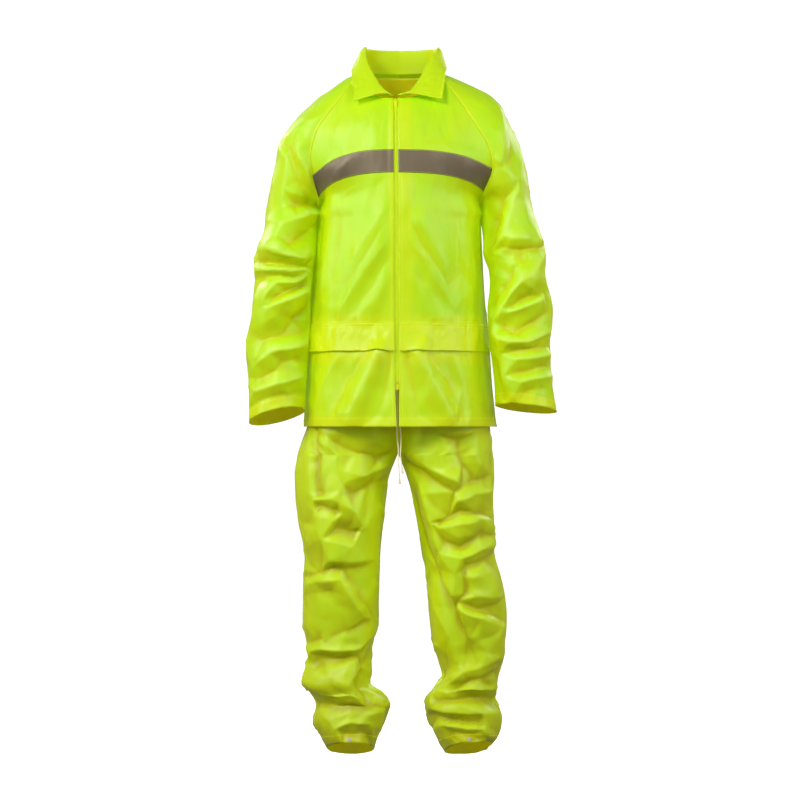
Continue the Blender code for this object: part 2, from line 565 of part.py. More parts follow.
# zip: tapes behind the front edges, the chain between them, slider, pull tab and end box. All follow the centre front.
last = ZIP_END_ROW + 1
line = np.array([(b[4], b[0], b[1]) for b in BODY[:last]], float)
along = np.gradient(line, axis=0)
outward = np.stack([0 * along[:, 0], along[:, 2], -along[:, 1]], -1)
outward /= np.linalg.norm(outward, axis=1)[:, None]
line -= outward * (CLOTH + TAPE_DROP)
opening = np.array([b[5] for b in BODY[:last]])
for side, sign in (("right", -1), ("left", 1)):
    hidden, free = line - outward * TAPE_DROP, line.copy()
    hidden[:, 0] += sign * (opening + TAPE_HIDDEN)
    free[:, 0] += sign * (CHAIN_WIDTH / 2 + GAP)
    wall(f"zip_tape_{side}", np.stack([hidden, free], axis=1), np.repeat(outward[:, None], 2, axis=1), TAPE, "zip", ease=0)
rise = (CHAIN_DEPTH - TAPE) / 2
across = np.array([CHAIN_WIDTH / 2, 0, 0])
chain = np.stack([line - across, line + across], axis=1) + outward[:, None] * rise
wall("zip_chain", chain, np.repeat(outward[:, None], 2, axis=1), CHAIN_DEPTH, "zip", ease=0)
foot = line[-1]
box("zip_box", (foot[0] - 3.2, foot[1] - 1.6, foot[2] - 11.5), (foot[0] + 3.2, foot[1] + 1.8, foot[2] - GAP), "zip")

# slider: a plate in front of the chain, lying along the slope of the front, with a bail over the tab's bar. Its own
# axes are x, out of the cloth and up along the zip.
spot = line[0] + (line[1] - line[0]) * SLIDER_ROW
up = line[0] - line[1]
up[0] = 0
up /= np.linalg.norm(up)
out_way = np.array([0, up[2], -up[1]]) * -1
AXES = np.stack([np.array([1.0, 0, 0]), out_way, up])


def on_slope(ob):
    for v in ob.data.vertices:
        p = np.array(v.co) / MM
        v.co = tuple((spot + p @ AXES) * MM)
    turned = bmesh.new()
    turned.from_mesh(ob.data)
    if turned.calc_volume(signed=True) < 0:
        bmesh.ops.reverse_faces(turned, faces=turned.faces)
    turned.to_mesh(ob.data)
    turned.free()
    return ob


def helper(name, low, high, target, operation):
    ob = on_slope(box(name, low, high, "metal"))
    ob.hide_render = True
    ob.display_type = "WIRE"
    mod = target.modifiers.new(name, "BOOLEAN")
    mod.operation, mod.object, mod.solver = operation, ob, "EXACT"


base = rise + 0.5
plate = base + 1.4
slider = on_slope(box("zip_slider", (-3.8, base, -4.5), (3.8, plate, 4.5), "metal"))
helper("slider_bail", (-1.2, base + 0.4, -1.6), (1.2, plate + 3.2, 3.6), slider, "UNION")
helper("slider_eye", (-3.0, plate, -0.6), (3.0, plate + 2.2, 2.6), slider, "DIFFERENCE")
HEIGHT, ALONG = plate + 1.1, 1.0  # pivot of the tab above the zip and along it
outer = [(-2.8, ALONG + 0.5), (2.8, ALONG + 0.5), (2.8, ALONG - 19), (-2.8, ALONG - 19)]
window = [(-1.8, ALONG - 0.5), (1.8, ALONG - 0.5), (1.8, ALONG - 5.6), (-1.8, ALONG - 5.6)]
tab = on_slope(framed("zip_pull_tab", outer, window, HEIGHT - 0.5, HEIGHT + 0.5, "metal"))
PIVOT = (spot + np.array([0, HEIGHT, ALONG]) @ AXES) * MM
for v in tab.data.vertices:  # the tab's origin is on its hinge
    v.co = tuple(np.array(v.co) - PIVOT)
tab.location = tuple(PIVOT)

# ---------------------------------------------------------------- trousers

tops = {}
for side, table in (("right", LEG_RIGHT), ("left", LEG_LEFT)):
    rows = np.arange(len(table))
    r, u = rows_cols(rows, LEG_CELLS)
    middle = np.array([[q[2], q[4], q[0]] for q in table], float)
    for face, back in (("front", False), ("back", True)):
        grid = folds(leg(table, r, u, back), TROUSER_FOLDS)
        n = grid_normals(grid, middle)
        tops[side, face] = grid[0]
        if not back:
            hem = (grid, n)
        wall(f"trouser_{face}_{side}", grid, n, CLOTH)
    grid, n = hem
    k = len(table) - 2
    j = 4 if side == "right" else 4
    q, m = grid[k, j] * 0.35 + grid[k + 1, j] * 0.65, n[k, j]
    d = np.cross(m, [0, 0, 1.0])
    d /= np.linalg.norm(d)
    e = np.cross(d, m)
    ang = np.arange(10) * math.pi / 5
    rim = (np.cos(ang)[:, None] * d + np.sin(ang)[:, None] * e) * STUD_D / 2
    verts = np.concatenate([q + rim + m * 1.2, q + rim + m * (1.2 + STUD_DEPTH)])
    faces = [tuple(range(10)), tuple(range(19, 9, -1))] + [(i, (i + 1) % 10, 10 + (i + 1) % 10, 10 + i) for i in range(10)]
    make(f"hem_stud_{side}", verts, faces, "metal")

ring = np.concatenate([tops["right", "front"], tops["right", "back"][::-1], tops["left", "back"], tops["left", "front"][::-1]])
low, high = ring + [0, 0, GAP], ring * [0.985, 0.985, 1] + [0, 0, 36.0]
grid = np.stack([low, high])
grid[:, -1] = grid[:, 0]
wall("waist_casing", grid, grid_normals(grid, np.array([[0, 5.0, -445], [0, 5.0, -410]]), 0), 2.0, wrap_from=0)

for side, path in (("right", CORD_RIGHT), ("left", CORD_LEFT)):
    tube(f"drawstring_{side}", path, CORD_D, "cord")
    end = np.array(path[-1], float)
    way = end - np.array(path[-2], float)
    way /= np.linalg.norm(way)
    tube(f"drawstring_end_{side}", [end + way * GAP, end + way * TIP_LENGTH], TIP_D, "cord", 8)
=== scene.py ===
import math

import bmesh
import bpy
import numpy as np
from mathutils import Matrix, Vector
from mathutils.geometry import delaunay_2d_cdt


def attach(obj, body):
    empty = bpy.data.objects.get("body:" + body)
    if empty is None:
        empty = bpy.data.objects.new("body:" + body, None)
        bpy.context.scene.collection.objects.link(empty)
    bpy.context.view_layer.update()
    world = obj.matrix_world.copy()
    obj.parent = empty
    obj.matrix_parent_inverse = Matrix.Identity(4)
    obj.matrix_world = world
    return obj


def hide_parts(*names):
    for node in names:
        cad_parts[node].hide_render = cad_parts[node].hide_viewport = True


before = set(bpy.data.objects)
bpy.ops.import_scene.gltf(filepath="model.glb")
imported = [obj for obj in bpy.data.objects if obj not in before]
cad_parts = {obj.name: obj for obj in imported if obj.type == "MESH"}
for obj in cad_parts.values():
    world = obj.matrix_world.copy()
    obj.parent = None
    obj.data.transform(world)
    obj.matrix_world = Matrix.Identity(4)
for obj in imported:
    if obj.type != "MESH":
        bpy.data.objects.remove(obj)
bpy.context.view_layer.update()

MM = 0.001
UNIT = 2.05  # side of a square of the drafting grid, mm; the grid's zero is at x -815.9, z 172.2 on the plane y 0
EYE = (4.1, -4500.0, -648.0)  # where the drafting grid is looked at from, mm


# ---------------------------------------------------------------- camera

cam = bpy.data.cameras.new("camera")
cam_ob = bpy.data.objects.new("camera", cam)
bpy.context.scene.collection.objects.link(cam_ob)
cam_ob.location = [q * MM for q in EYE]
cam_ob.rotation_euler = (math.pi / 2, 0, 0)
cam.sensor_width = 36.0
cam.lens = 36.0 * 4.5 / (800 * UNIT * MM)
cam.clip_end = 60
bpy.context.scene.camera = cam_ob

# ---------------------------------------------------------------- helpers


def smooth(x):
    x = np.clip(x, 0, 1)
    return x * x * (3 - 2 * x)


def noise(x, y, seed, size=64):
    """Soft value noise from -1 to 1, one bump a unit."""
    table = np.random.RandomState(seed).uniform(-1, 1, (size, size))
    xi, yi = np.floor(x).astype(int), np.floor(y).astype(int)
    fx, fy = x - xi, y - yi
    fx, fy = fx**3 * (fx * (fx * 6 - 15) + 10), fy**3 * (fy * (fy * 6 - 15) + 10)
    a, b = table[xi % size, yi % size], table[(xi + 1) % size, yi % size]
    c, d = table[xi % size, (yi + 1) % size], table[(xi + 1) % size, (yi + 1) % size]
    return (a + (b - a) * fx) * (1 - fy) + (c + (d - c) * fx) * fy


def column(table, columns, name, r):
    y = np.array([row[columns.index(name)] for row in table], float)
    i = np.clip(np.floor(r).astype(int), 0, len(y) - 2)
    t = r - i
    a, b, c, d = y[np.maximum(i - 1, 0)], y[i], y[i + 1], y[np.minimum(i + 2, len(y) - 1)]
    m, n = (c - a) / 2, (d - b) / 2
    return (2 * t**3 - 3 * t**2 + 1) * b + (t**3 - 2 * t**2 + t) * m + (3 * t**2 - 2 * t**3) * c + (t**3 - t**2) * n


def bezier(p, t):
    s = 1 - t
    return s**3 * p[0] + 3 * s * s * t * p[1] + 3 * s * t * t * p[2] + t**3 * p[3]


# ---------------------------------------------------------------- the suit's sections, in millimetres, as cut and worn

GAP = 0.06
UNDERARM = 7
# Sleeves. fx fz: front seam point, which is the innermost point from the underarm down. tx tz: top or outermost point.
# yc: depth of the middle. bf bb: half depth to the front and back. al: half angle of the section. dx dz: back seam
# against the front seam. be: angle at which the front leaves the seam. tip: rise of the front over the middle.
SLEEVE_COLUMNS = ("fx", "fz", "tx", "tz", "yc", "bf", "bb", "al", "dx", "dz", "be", "tip")
SLEEVE_RIGHT = [
    (-78, 12, -87, 20, 8, 62, 58, 66, 4, 12, 50, 0),
    (-93, -8, -110, 6, 8, 82, 76, 72, 6, 12, 38, 0),
    (-125, -53, -160, -27, 7, 97, 92, 80, 8, 12, 20, 0),
    (-160, -103, -214, -80, 6, 104, 102, 88, 6, 8, 8, 0),
    (-174, -154, -243, -122, 4, 104, 106, 96, 2, 4, 8, 0),
    (-171.5, -196, -251, -161, 2, 100, 104, 110, -1, 2, 26, 0),
    (-161, -240, -262, -212, 0, 92, 95, 140, -1, 0, 62, 0),
    (-162, -262, -268, -254, 0, 86, 88, 180, 0, 0, 90, 0),
    (-171, -300, -272, -300, -16, 80, 82, 180, 0, 0, 90, 0),
    (-174, -330, -285, -338, -28, 76, 79, 180, 0, 0, 90, 0),
    (-176, -354, -293.5, -368, -36, 73, 76, 180, 0, 0, 90, 0),
    (-180, -388, -291, -402, -42, 70, 72, 180, 0, 0, 90, 0),
    (-184, -426, -295, -443, -46, 66, 68, 180, 0, 0, 90, 0),
    (-185, -466, -298, -484, -48, 63, 65, 180, 0, 0, 90, 0),
    (-187, -520, -307, -541, -50, 60, 62, 180, 0, 0, 90, 1),
    (-190, -566, -303, -588, -52, 57, 59, 180, 0, 0, 90, 4),
    (-191, -614, -302, -640, -54, 54, 56, 180, 0, 0, 90, 9),
    (-193, -668, -302, -694, -56, 50, 54, 180, 0, 0, 90, 14),
]
SLEEVE_LEFT = [
    (80, 12, 90, 22, 8, 62, 58, 66, -4, 12, 50, 0),
    (96, -8, 113, 13, 8, 82, 76, 72, -6, 12, 36, 0),
    (124, -47, 164, -12, 7, 97, 92, 80, -8, 12, 18, 0),
    (153, -91, 208, -42, 6, 104, 102, 88, -6, 8, 8, 0),
    (180, -138, 233, -90, 4, 104, 106, 96, -2, 4, 8, 0),
    (189, -182, 255, -158, 2, 100, 104, 110, 1, 2, 26, 0),
    (173, -227, 267, -212, 0, 92, 95, 140, 1, 0, 62, 0),
    (168, -252, 274, -252, 0, 86, 88, 180, 0, 0, 90, 0),
    (176, -292, 287, -299, -16, 80, 82, 180, 0, 0, 90, 0),
    (179, -325, 299, -339, -28, 76, 79, 180, 0, 0, 90, 0),
    (179, -352, 300, -367, -36, 73, 76, 180, 0, 0, 90, 0),
    (190, -386, 299, -396, -42, 70, 72, 180, 0, 0, 90, 0),
    (191, -424, 310, -443, -46, 66, 68, 180, 0, 0, 90, 0),
    (187, -462, 314, -484, -48, 63, 65, 180, 0, 0, 90, 0),
    (189, -512, 309, -527, -50, 60, 62, 180, 0, 0, 90, 1),
    (194, -562, 311, -590, -52, 57, 59, 180, 0, 0, 90, 3),
    (198, -608, 317, -632, -54, 54, 56, 180, 0, 0, 90, 6),
    (200, -659, 323, -672, -56, 50, 54, 180, 0, 0, 90, 8),
]

# Jacket body. yf zf: centre front. yb zb: centre back. xz: middle of the zip. half: half opening between the fronts.
# xr xl zs ys: side seam points, used from the underarm down. kf kb: fullness of the front and back.
BODY_COLUMNS = ("yf", "zf", "yb", "zb", "xz", "half", "xr", "xl", "zs", "ys", "kf", "kb")
BODY = [
    (-100, -42, 88, 24, -5.0, 4.5, 0, 0, 0, 0, 1.0, 1.0),
    (-112, -57, 103, -4, -4.8, 4.5, 0, 0, 0, 0, 1.0, 1.0),
    (-122, -77, 117, -40, -4.6, 4.5, 0, 0, 0, 0, 1.0, 1.0),
    (-130, -100, 127, -80, -4.4, 4.5, 0, 0, 0, 0, 1.0, 1.0),
    (-136, -125, 133, -120, -4.2, 4.5, 0, 0, 0, 0, 1.0, 1.0),
    (-140, -150, 136, -160, -4.0, 4.5, 0, 0, 0, 0, 1.0, 1.0),
    (-143, -196, 137, -202, -3.7, 4.5, 0, 0, 0, 0, 1.0, 1.0),
    (-145, -240, 137, -245, -3.4, 4.5, -162, 168, -256, 0, 1.0, 1.0),
    (-147, -285, 136, -286, -3.2, 4.5, -167, 170, -286, 6, 1.05, 1.05),
    (-148, -325, 134, -325, -3.0, 4.5, -171, 172, -325, 10, 1.08, 1.08),
    (-148, -365, 131, -365, -2.8, 4.5, -176, 174, -365, 12, 1.1, 1.1),
    (-147, -405, 129, -405, -2.6, 4.5, -181, 176, -405, 13, 1.1, 1.1),
    (-146, -450, 128, -450, -2.4, 4.5, -184, 179, -450, 14, 1.1, 1.1),
    (-147, -495, 129, -495, -2.2, 4.5, -187, 184, -495, 14, 1.1, 1.1),
    (-150, -550, 134, -550, -2.0, 4.4, -190, 189, -550, 14, 1.1, 1.1),
    (-153, -616, 139, -610, -1.8, 4.0, -191, 193, -612, 14, 1.1, 1.1),
    (-156, -645, 143, -640, -1.2, 3.4, -192, 196, -642, 14, 1.1, 1.1),
    (-158, -673, 146, -668, -0.6, 2.8, -192.5, 199, -670, 14, 1.1, 1.1),
    (-160, -701, 149, -700, 0.0, 2.2, -193, 202, -703, 14, 1.1, 1.1),
]

# Trousers, a row per section. z: height. xo: outseam. cx: middle. xi: inseam; above the fork it lies past the centre
# seam, which cuts the section. yc bf bb: as for the sleeves. so si: height of the outseam and inseam against z.
# fr: rise of the front over the back.
LEG_COLUMNS = ("z", "xo", "cx", "xi", "yc", "bf", "bb", "so", "si", "fr")
LEG_RIGHT = [
    (-445, -158, -70, 190, 5, 106, 94, 0, 0, 0),
    (-500, -166, -78, 180, 6, 110, 97, 0, 0, 0),
    (-560, -173, -84, 150, 7, 113, 100, 0, 0, 0),
    (-615, -177, -90, 108, 8, 115, 103, 0, 0, 0),
    (-662, -181, -94, 64, 8, 115, 107, 0, 0, 0),
    (-700, -186, -97, 30, 8, 115, 110, 0, 0, 0),
    (-734, -198, -101, 9, 8, 114, 114, 0, 0, 0),
    (-761, -206, -105, -1.5, 7, 112, 116, 0, 0, 0),
    (-810, -211, -115, -20, 6, 112, 114, 0, 0, 0),
    (-860, -209, -119, -26, 5, 110, 109, 0, 0, 0),
    (-910, -202, -118, -31, 3, 106, 104, 0, 0, 0),
    (-960, -192, -115, -36, 1, 102, 98, 0, 0, 0),
    (-1010, -194, -116, -38, -2, 99, 93, 0, 0, 0),
    (-1060, -195, -117, -39, -4, 96, 90, 0, 0, 0),
    (-1108, -195, -118, -40, -4, 91, 89, 0, 0, 0),
    (-1145, -185, -117, -51, -2, 86, 89, 0, 0, 0),
    (-1180, -183, -119, -55, 0, 86, 92, 0, -2, 4),
    (-1224, -198, -128, -59, 0, 94, 98, 0, -6, 8),
    (-1250, -182, -106, -32, 0, 84, 93, 4, -2, 10),
    (-1274, -169, -93, -17, 0, 92, 99, 4, 2, 10),
    (-1306, -173, -99, -26, 0, 86, 96, 0, 0, 12),
    (-1337, -159, -98, -41, -1, 88, 94, 0, 0, 16),
    (-1362, -145, -96, -49, -2, 89, 93, 0, 0, 26),
]
LEG_LEFT = [
    (-445, 158, 70, -190, 5, 106, 94, 0, 0, 0),
    (-500, 166, 78, -180, 6, 110, 97, 0, 0, 0),
    (-560, 173, 84, -150, 7, 113, 100, 0, 0, 0),
    (-615, 178, 90, -108, 8, 115, 103, 0, 0, 0),
    (-662, 183, 94, -64, 8, 115, 107, 0, 0, 0),
    (-700, 188, 97, -30, 8, 115, 110, 0, 0, 0),
    (-734, 192, 100, -9, 8, 114, 114, 0, 0, 0),
    (-761, 194, 102, 1.5, 7, 112, 116, 0, 0, 0),
    (-810, 197, 109, 20, 6, 112, 114, 0, 0, 0),
    (-860, 195, 114, 32, 5, 110, 109, 0, 0, 0),
    (-910, 198, 120, 42, 3, 106, 104, 0, 0, 0),
    (-960, 197, 124, 52, 1, 102, 98, 0, 0, 0),
    (-1010, 211, 136, 61, -2, 99, 93, 0, 0, 0),
    (-1060, 221, 142, 65, -4, 96, 90, 0, 0, 0),
    (-1108, 223, 145, 67, -4, 91, 89, 0, 0, 0),
    (-1145, 219, 146, 71, -2, 86, 89, 0, 0, 0),
    (-1180, 216, 149, 82, 0, 86, 92, 0, -2, 4),
    (-1212, 207, 148, 90, 0, 92, 98, 0, -4, 8),
    (-1240, 203, 139, 73, 0, 85, 93, 4, 0, 10),
    (-1267, 200, 128, 55, 0, 92, 99, 4, 0, 10),
    (-1297, 213, 137, 61, 0, 87, 96, 2, 0, 12),
    (-1332, 207, 140, 77, -1, 88, 94, 2, -2, 16),
    (-1362, 192, 144, 97, -2, 89, 93, 10, -6, 26),
]

# Collar, a row per station from the front end round to the back. at: place along the half neckline, 0 at the zip and
# 1 at the centre back. fold x y z: the turned top. edge x y z: the free edge of the fall. lift: height of the fall's
# middle over a straight line from fold to edge.
COLLAR_COLUMNS = ("at", "x", "y", "z", "ex", "ey", "ez", "lift")
COLLAR_RIGHT = [
    (0.0, -11, -109, -38, -87, -114, -51, 9),
    (0.16, -33, -95, -18, -91, -96, -23, 8),
    (0.34, -60, -52, 35, -94, -48, 16, 7),
    (0.52, -65, -10, 72, -94, 6, 30, 7),
    (0.68, -61, 34, 77, -90, 60, 26, 7),
    (0.84, -38, 66, 79, -58, 98, 22, 7),
    (1.0, 4, 77, 80, 2, 112, 16, 7),
]
COLLAR_LEFT = [
    (0.0, 1, -109, -38, 89, -114, -47, 9),
    (0.16, 29, -95, -22, 92, -96, -22, 8),
    (0.34, 61, -52, 35, 97, -48, 19, 7),
    (0.52, 81, -8, 71, 100, 6, 33, 7),
    (0.68, 74, 36, 77, 94, 60, 28, 7),
    (0.84, 47, 67, 79, 60, 98, 22, 7),
    (1.0, 4, 77, 80, 2, 112, 16, 7),
]

# Largest folds. x0 z0 x1 z1: the line of the fold. w: half width. h: height, + out of the cloth. face: -1 front, 1 back.
FOLD_COLUMNS = ("x0", "z0", "x1", "z1", "w", "h", "face")
JACKET_FOLDS = [
    (-30, -310, -118, -455, 42, 6, -1),
    (-14, -400, -70, -480, 34, 5, -1),
    (-118, -190, -140, -420, 38, 6, -1),
    (40, -300, 120, -440, 44, 6, -1),
    (20, -390, 80, -480, 34, 4, -1),
    (-45, -560, -100, -690, 40, 9, -1),
    (50, -560, 110, -690, 42, 8, -1),
    (172, -455, 180, -700, 30, -7, -1),
    (-60, -180, -120, -440, 46, 7, 1),
    (70, -190, 110, -450, 46, 6, 1),
    (0, -330, 10, -600, 44, 6, 1),
    (-90, -540, -120, -700, 40, 8, 1),
    (80, -560, 120, -700, 40, 8, 1),
    (-282, -330, -200, -352, 26, 5, -1),
    (-275, -400, -205, -420, 28, -6, -1),
    (-290, -500, -210, -470, 30, 5, -1),
    (292, -345, 205, -335, 26, 5, -1),
    (285, -430, 215, -500, 30, -6, -1),
    (300, -560, 220, -520, 30, 5, -1),
    (-286, -350, -200, -375, 30, 7, 1),
    (290, -350, 210, -380, 30, 7, 1),
]
TROUSER_FOLDS = [
    (-165, -720, -135, -960, 40, 7, -1),
    (-60, -720, -95, -880, 38, 6, -1),
    (-150, -1000, -70, -1060, 34, 6, -1),
    (-90, -1170, -92, -1250, 30, 7, -1),
    (20, -780, 75, -985, 38, -6, -1),
    (110, -810, 150, -900, 38, 6, -1),
    (75, -985, 140, -1130, 34, 8, -1),
    (160, -1030, 210, -1090, 34, -6, -1),
    (-120, -760, -130, -1000, 42, 6, 1),
    (-160, -1060, -70, -1090, 34, 7, 1),
    (-150, -1190, -70, -1200, 30, 6, 1),
    (120, -770, 130, -1000, 42, 6, 1),
    (90, -1060, 200, -1080, 34, 7, 1),
    (100, -1190, 200, -1180, 30, 6, 1),
]

# Cord ends, a row per bend. x y z of the middle of the cord.
CORD_COLUMNS = ("x", "y", "z")
CORD_RIGHT = [(-14, -100.5, -425), (-14, -105, -432), (-10, -109, -460), (-5, -112, -560), (-1, -113, -670), (-2.4, -114, -716), (0.2, -114.5, -742), (1.0, -115, -757), (1.6, -114.5, -775), (3.1, -114, -803)]
CORD_LEFT = [(14, -100.5, -425), (14, -105, -432), (10, -109, -460), (7, -112, -560), (3.6, -113, -670), (5.6, -114, -716), (6.0, -114.5, -735), (4.8, -115, -757), (6.4, -114.5, -770), (8.0, -114, -782)]

# ---------------------------------------------------------------- cords

CORD_D = 2.5
CORDS = {}


def tube_verts(path, radius, sides=8):
    path = np.asarray(path, float)
    v, f = [], []
    for i, p in enumerate(path):
        t = path[min(i + 1, len(path) - 1)] - path[max(i - 1, 0)]
        t /= max(np.linalg.norm(t), 1e-9)
        a = np.cross(t, [0.13, 1, 0.07])
        a /= np.linalg.norm(a)
        b = np.cross(t, a)
        rad = radius[i] if hasattr(radius, "__len__") else radius
        v += [p + (a * math.cos(q) + b * math.sin(q)) * rad for q in np.arange(sides) * 2 * math.pi / sides]
    for i in range(len(path) - 1):
        for j in range(sides):
            q = (j + 1) % sides
            f.append((i * sides + j, i * sides + q, (i + 1) * sides + q, (i + 1) * sides + j))
    f += [tuple(range(sides))[::-1], tuple(range(len(v) - sides, len(v)))]
    return v, f


def cord_tube(name, route, diameter, node):
    """A round cord along the route, its surface twisted in three strands."""
    p = np.array(route, float)
    seg = np.concatenate([[0], np.cumsum(np.linalg.norm(np.diff(p, axis=0), axis=1))])
    at = np.linspace(0, seg[-1], 420)
    row = np.interp(at, seg, range(len(p)))
    q = np.stack([column(p.tolist(), (0, 1, 2), k, row) for k in range(3)], -1)
    sides = 15
    v, f = tube_verts(q, diameter / 2, sides)
    v = np.array(v).reshape(len(q), sides, 3)
    turn = at[:, None] / 5.0 * 2 * math.pi / 3 + np.arange(sides)[None] * 2 * math.pi / sides
    lobes = 1 - 0.13 * (1 - np.abs(np.sin(1.5 * turn)))
    v = q[:, None] + (v - q[:, None]) * lobes[..., None]
    me = bpy.data.meshes.new(name)
    me.from_pydata([tuple(k) for k in v.reshape(-1, 3) * MM], [], f)
    me.polygons.foreach_set("use_smooth", [True] * len(me.polygons))
    ob = bpy.data.objects.new(name, me)
    bpy.context.scene.collection.objects.link(ob)
    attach(ob, "root")
    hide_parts(node)
    real = float(np.linalg.norm(np.diff(q[::10], axis=0), axis=1).sum()) * MM
    CORDS[name] = (ob, q * MM, real)
    return ob


cord_tube("cord_right", CORD_RIGHT, CORD_D, "drawstring_right")
cord_tube("cord_left", CORD_LEFT, CORD_D, "drawstring_left")

# ---------------------------------------------------------------- surfaces, outer face, mm


def folds(points, table):
    out = points.copy()
    x, y, z = points[..., 0], points[..., 1], points[..., 2]
    for x0, z0, x1, z1, w, h, face in table:
        ax, az = x1 - x0, z1 - z0
        t = np.clip(((x - x0) * ax + (z - z0) * az) / (ax * ax + az * az), 0, 1)
        d = np.hypot(x - x0 - t * ax, z - z0 - t * az) / w
        facing = np.clip((y * face - 5) / 55, 0, 1)
        if face < 0:
            facing = facing * np.clip((np.abs(x) - 8) / 34, 0, 1)
        out[..., 1] += face * h * np.cos(np.minimum(d, 1) * math.pi / 2) ** 2 * facing * facing * (3 - 2 * facing)
    return out


def sleeve(table, r, u, gap=GAP):
    c = {n: column(table, SLEEVE_COLUMNS, n, r) for n in SLEEVE_COLUMNS}
    out = np.sign(table[0][0])
    al = np.radians(np.where(r >= UNDERARM, 180, np.minimum(c["al"], 180)))
    th = (2 * u - 1) * al
    front = th < 0
    ix = c["fx"] + np.where(front, 0, c["dx"]) + out * gap
    iz = c["fz"] + np.where(front, 0, c["dz"])
    k = (np.cos(th) - np.cos(al)) / (1 - np.cos(al))
    half = np.where(front, c["bf"], c["bb"])
    y = c["yc"] + half * np.sin(th)
    z = iz + (c["tz"] - iz) * k + c["tip"] * (c["yc"] - y) / half
    return np.stack([ix + (c["tx"] - ix) * k, y, z], -1)


def seam(table, r, back):
    side = -1 if table[0][0] < 0 else 1
    upper = sleeve(table, np.minimum(r, UNDERARM), np.full_like(r, 1.0 if back else 0.0), 0)
    x = column(BODY, BODY_COLUMNS, "xr" if side < 0 else "xl", np.maximum(r, UNDERARM))
    q = np.maximum(r, UNDERARM)
    lower = np.stack([x, column(BODY, BODY_COLUMNS, "ys", q), column(BODY, BODY_COLUMNS, "zs", q)], -1)
    first = np.array([table[UNDERARM][0], table[UNDERARM][4], table[UNDERARM][1]], float)
    blend = np.clip(r - UNDERARM, 0, 1)[..., None]
    lower = first + (lower - first) * blend
    return np.where((r <= UNDERARM)[..., None], upper, lower)


def half_body(table, r, u, back):
    out = np.sign(table[0][0])
    s = seam(table, r, back)
    b = {n: column(BODY, BODY_COLUMNS, n, r) for n in BODY_COLUMNS}
    be = np.radians(np.where(r >= UNDERARM, 90, column(table, SLEEVE_COLUMNS, "be", np.minimum(r, UNDERARM))))
    s = s - np.stack([out * GAP + 0 * r, 0 * r, 0 * r], -1)
    face = 1 if back else -1
    s[..., 1] += face * GAP / 2 * (r >= UNDERARM)
    cx = 0 * r if back else b["xz"] + out * b["half"]
    cy, cz, k = (b["yb"], b["zb"], b["kb"]) if back else (b["yf"], b["zf"], b["kf"])
    w, d = np.abs(s[..., 0] - cx), np.abs(cy - s[..., 1])
    reach = 0.36 * w * np.cos(be) ** 2 + 0.56 * k * d * np.sin(be) ** 2
    p = [
        s,
        np.stack([s[..., 0] - out * reach * np.cos(be), s[..., 1] + face * reach * np.sin(be), s[..., 2] + (cz - s[..., 2]) * (0.8 if not back else 0.4)], -1),
        np.stack([cx + out * 0.5 * k * w, cy, cz], -1),
        np.stack([cx, cy, cz], -1),
    ]
    return bezier(p, u[..., None])


def leg(table, r, u, back):
    c = {n: column(table, LEG_COLUMNS, n, r) for n in LEG_COLUMNS}
    out = np.sign(table[0][1])
    inner, outer = np.abs(c["xi"] - c["cx"]), np.abs(c["xo"] - c["cx"])
    cut = np.arccos(np.clip((np.abs(c["cx"]) - GAP / 2) / inner, -1, 1))
    a = cut + (math.pi - cut) * u
    face = 1 if back else -1
    x = c["cx"] - out * np.cos(a) * np.where(a < math.pi / 2, inner, outer)
    half = c["bb"] if back else c["bf"]
    y = c["yc"] + face * (half * np.sin(a) + GAP / 2)
    z = c["z"] + np.where(np.cos(a) < 0, c["so"], c["si"]) * np.cos(a) ** 2 - c["fr"] * face * np.sin(a)
    return np.stack([x, y, z], -1)


def neckline(table, t):
    zero = np.zeros_like(t)
    front = half_body(table, zero, 1 - np.clip(t / 0.38, 0, 1), False)
    cap = sleeve(table, zero, np.clip((t - 0.38) / 0.3, 0, 1), 0)
    back = half_body(table, zero, np.clip((t - 0.68) / 0.32, 0, 1), True)
    return np.where((t < 0.38)[..., None], front, np.where((t < 0.68)[..., None], cap, back))


def collar(table, t, v):
    row = np.interp(t, [q[0] for q in table], range(len(table)))
    c = {n: column(table, COLLAR_COLUMNS, n, row) for n in COLLAR_COLUMNS}
    base = neckline(SLEEVE_RIGHT if table is COLLAR_RIGHT else SLEEVE_LEFT, t)
    base = base * np.array([0.95, 0.94, 1]) + np.array([0, 0, 7.0])
    fold = np.stack([c["x"], c["y"], c["z"]], -1)
    edge = np.stack([c["ex"], c["ey"], c["ez"]], -1)
    stand = base + (fold - base) * np.clip(v / 0.4, 0, 1)[..., None]
    q = np.clip((v - 0.4) / 0.6, 0, 1)
    away = edge - fold
    away[..., 2] = 0
    away /= np.maximum(np.linalg.norm(away, axis=-1), 1e-6)[..., None]
    bulge = np.sqrt(np.maximum(q * (1 - q), 0)) * 2
    fall = fold + (edge - fold) * q[..., None] + away * (0.55 * c["lift"] * bulge)[..., None] + np.array([0, 0, 1.0]) * (c["lift"] * bulge * (1 - q))[..., None]
    return np.where((v <= 0.4)[..., None], stand, fall)


# ---------------------------------------------------------------- fine grids


def even(surface, low, high, count, u=0.5, samples=600):
    """Row numbers from low to high evenly spaced along the surface at u."""
    r = np.linspace(low, high, samples)
    p = surface(r, np.full_like(r, u))
    run = np.concatenate([[0], np.cumsum(np.linalg.norm(np.diff(p, axis=0), axis=1))])
    return np.interp(np.linspace(0, run[-1], count), run, r)


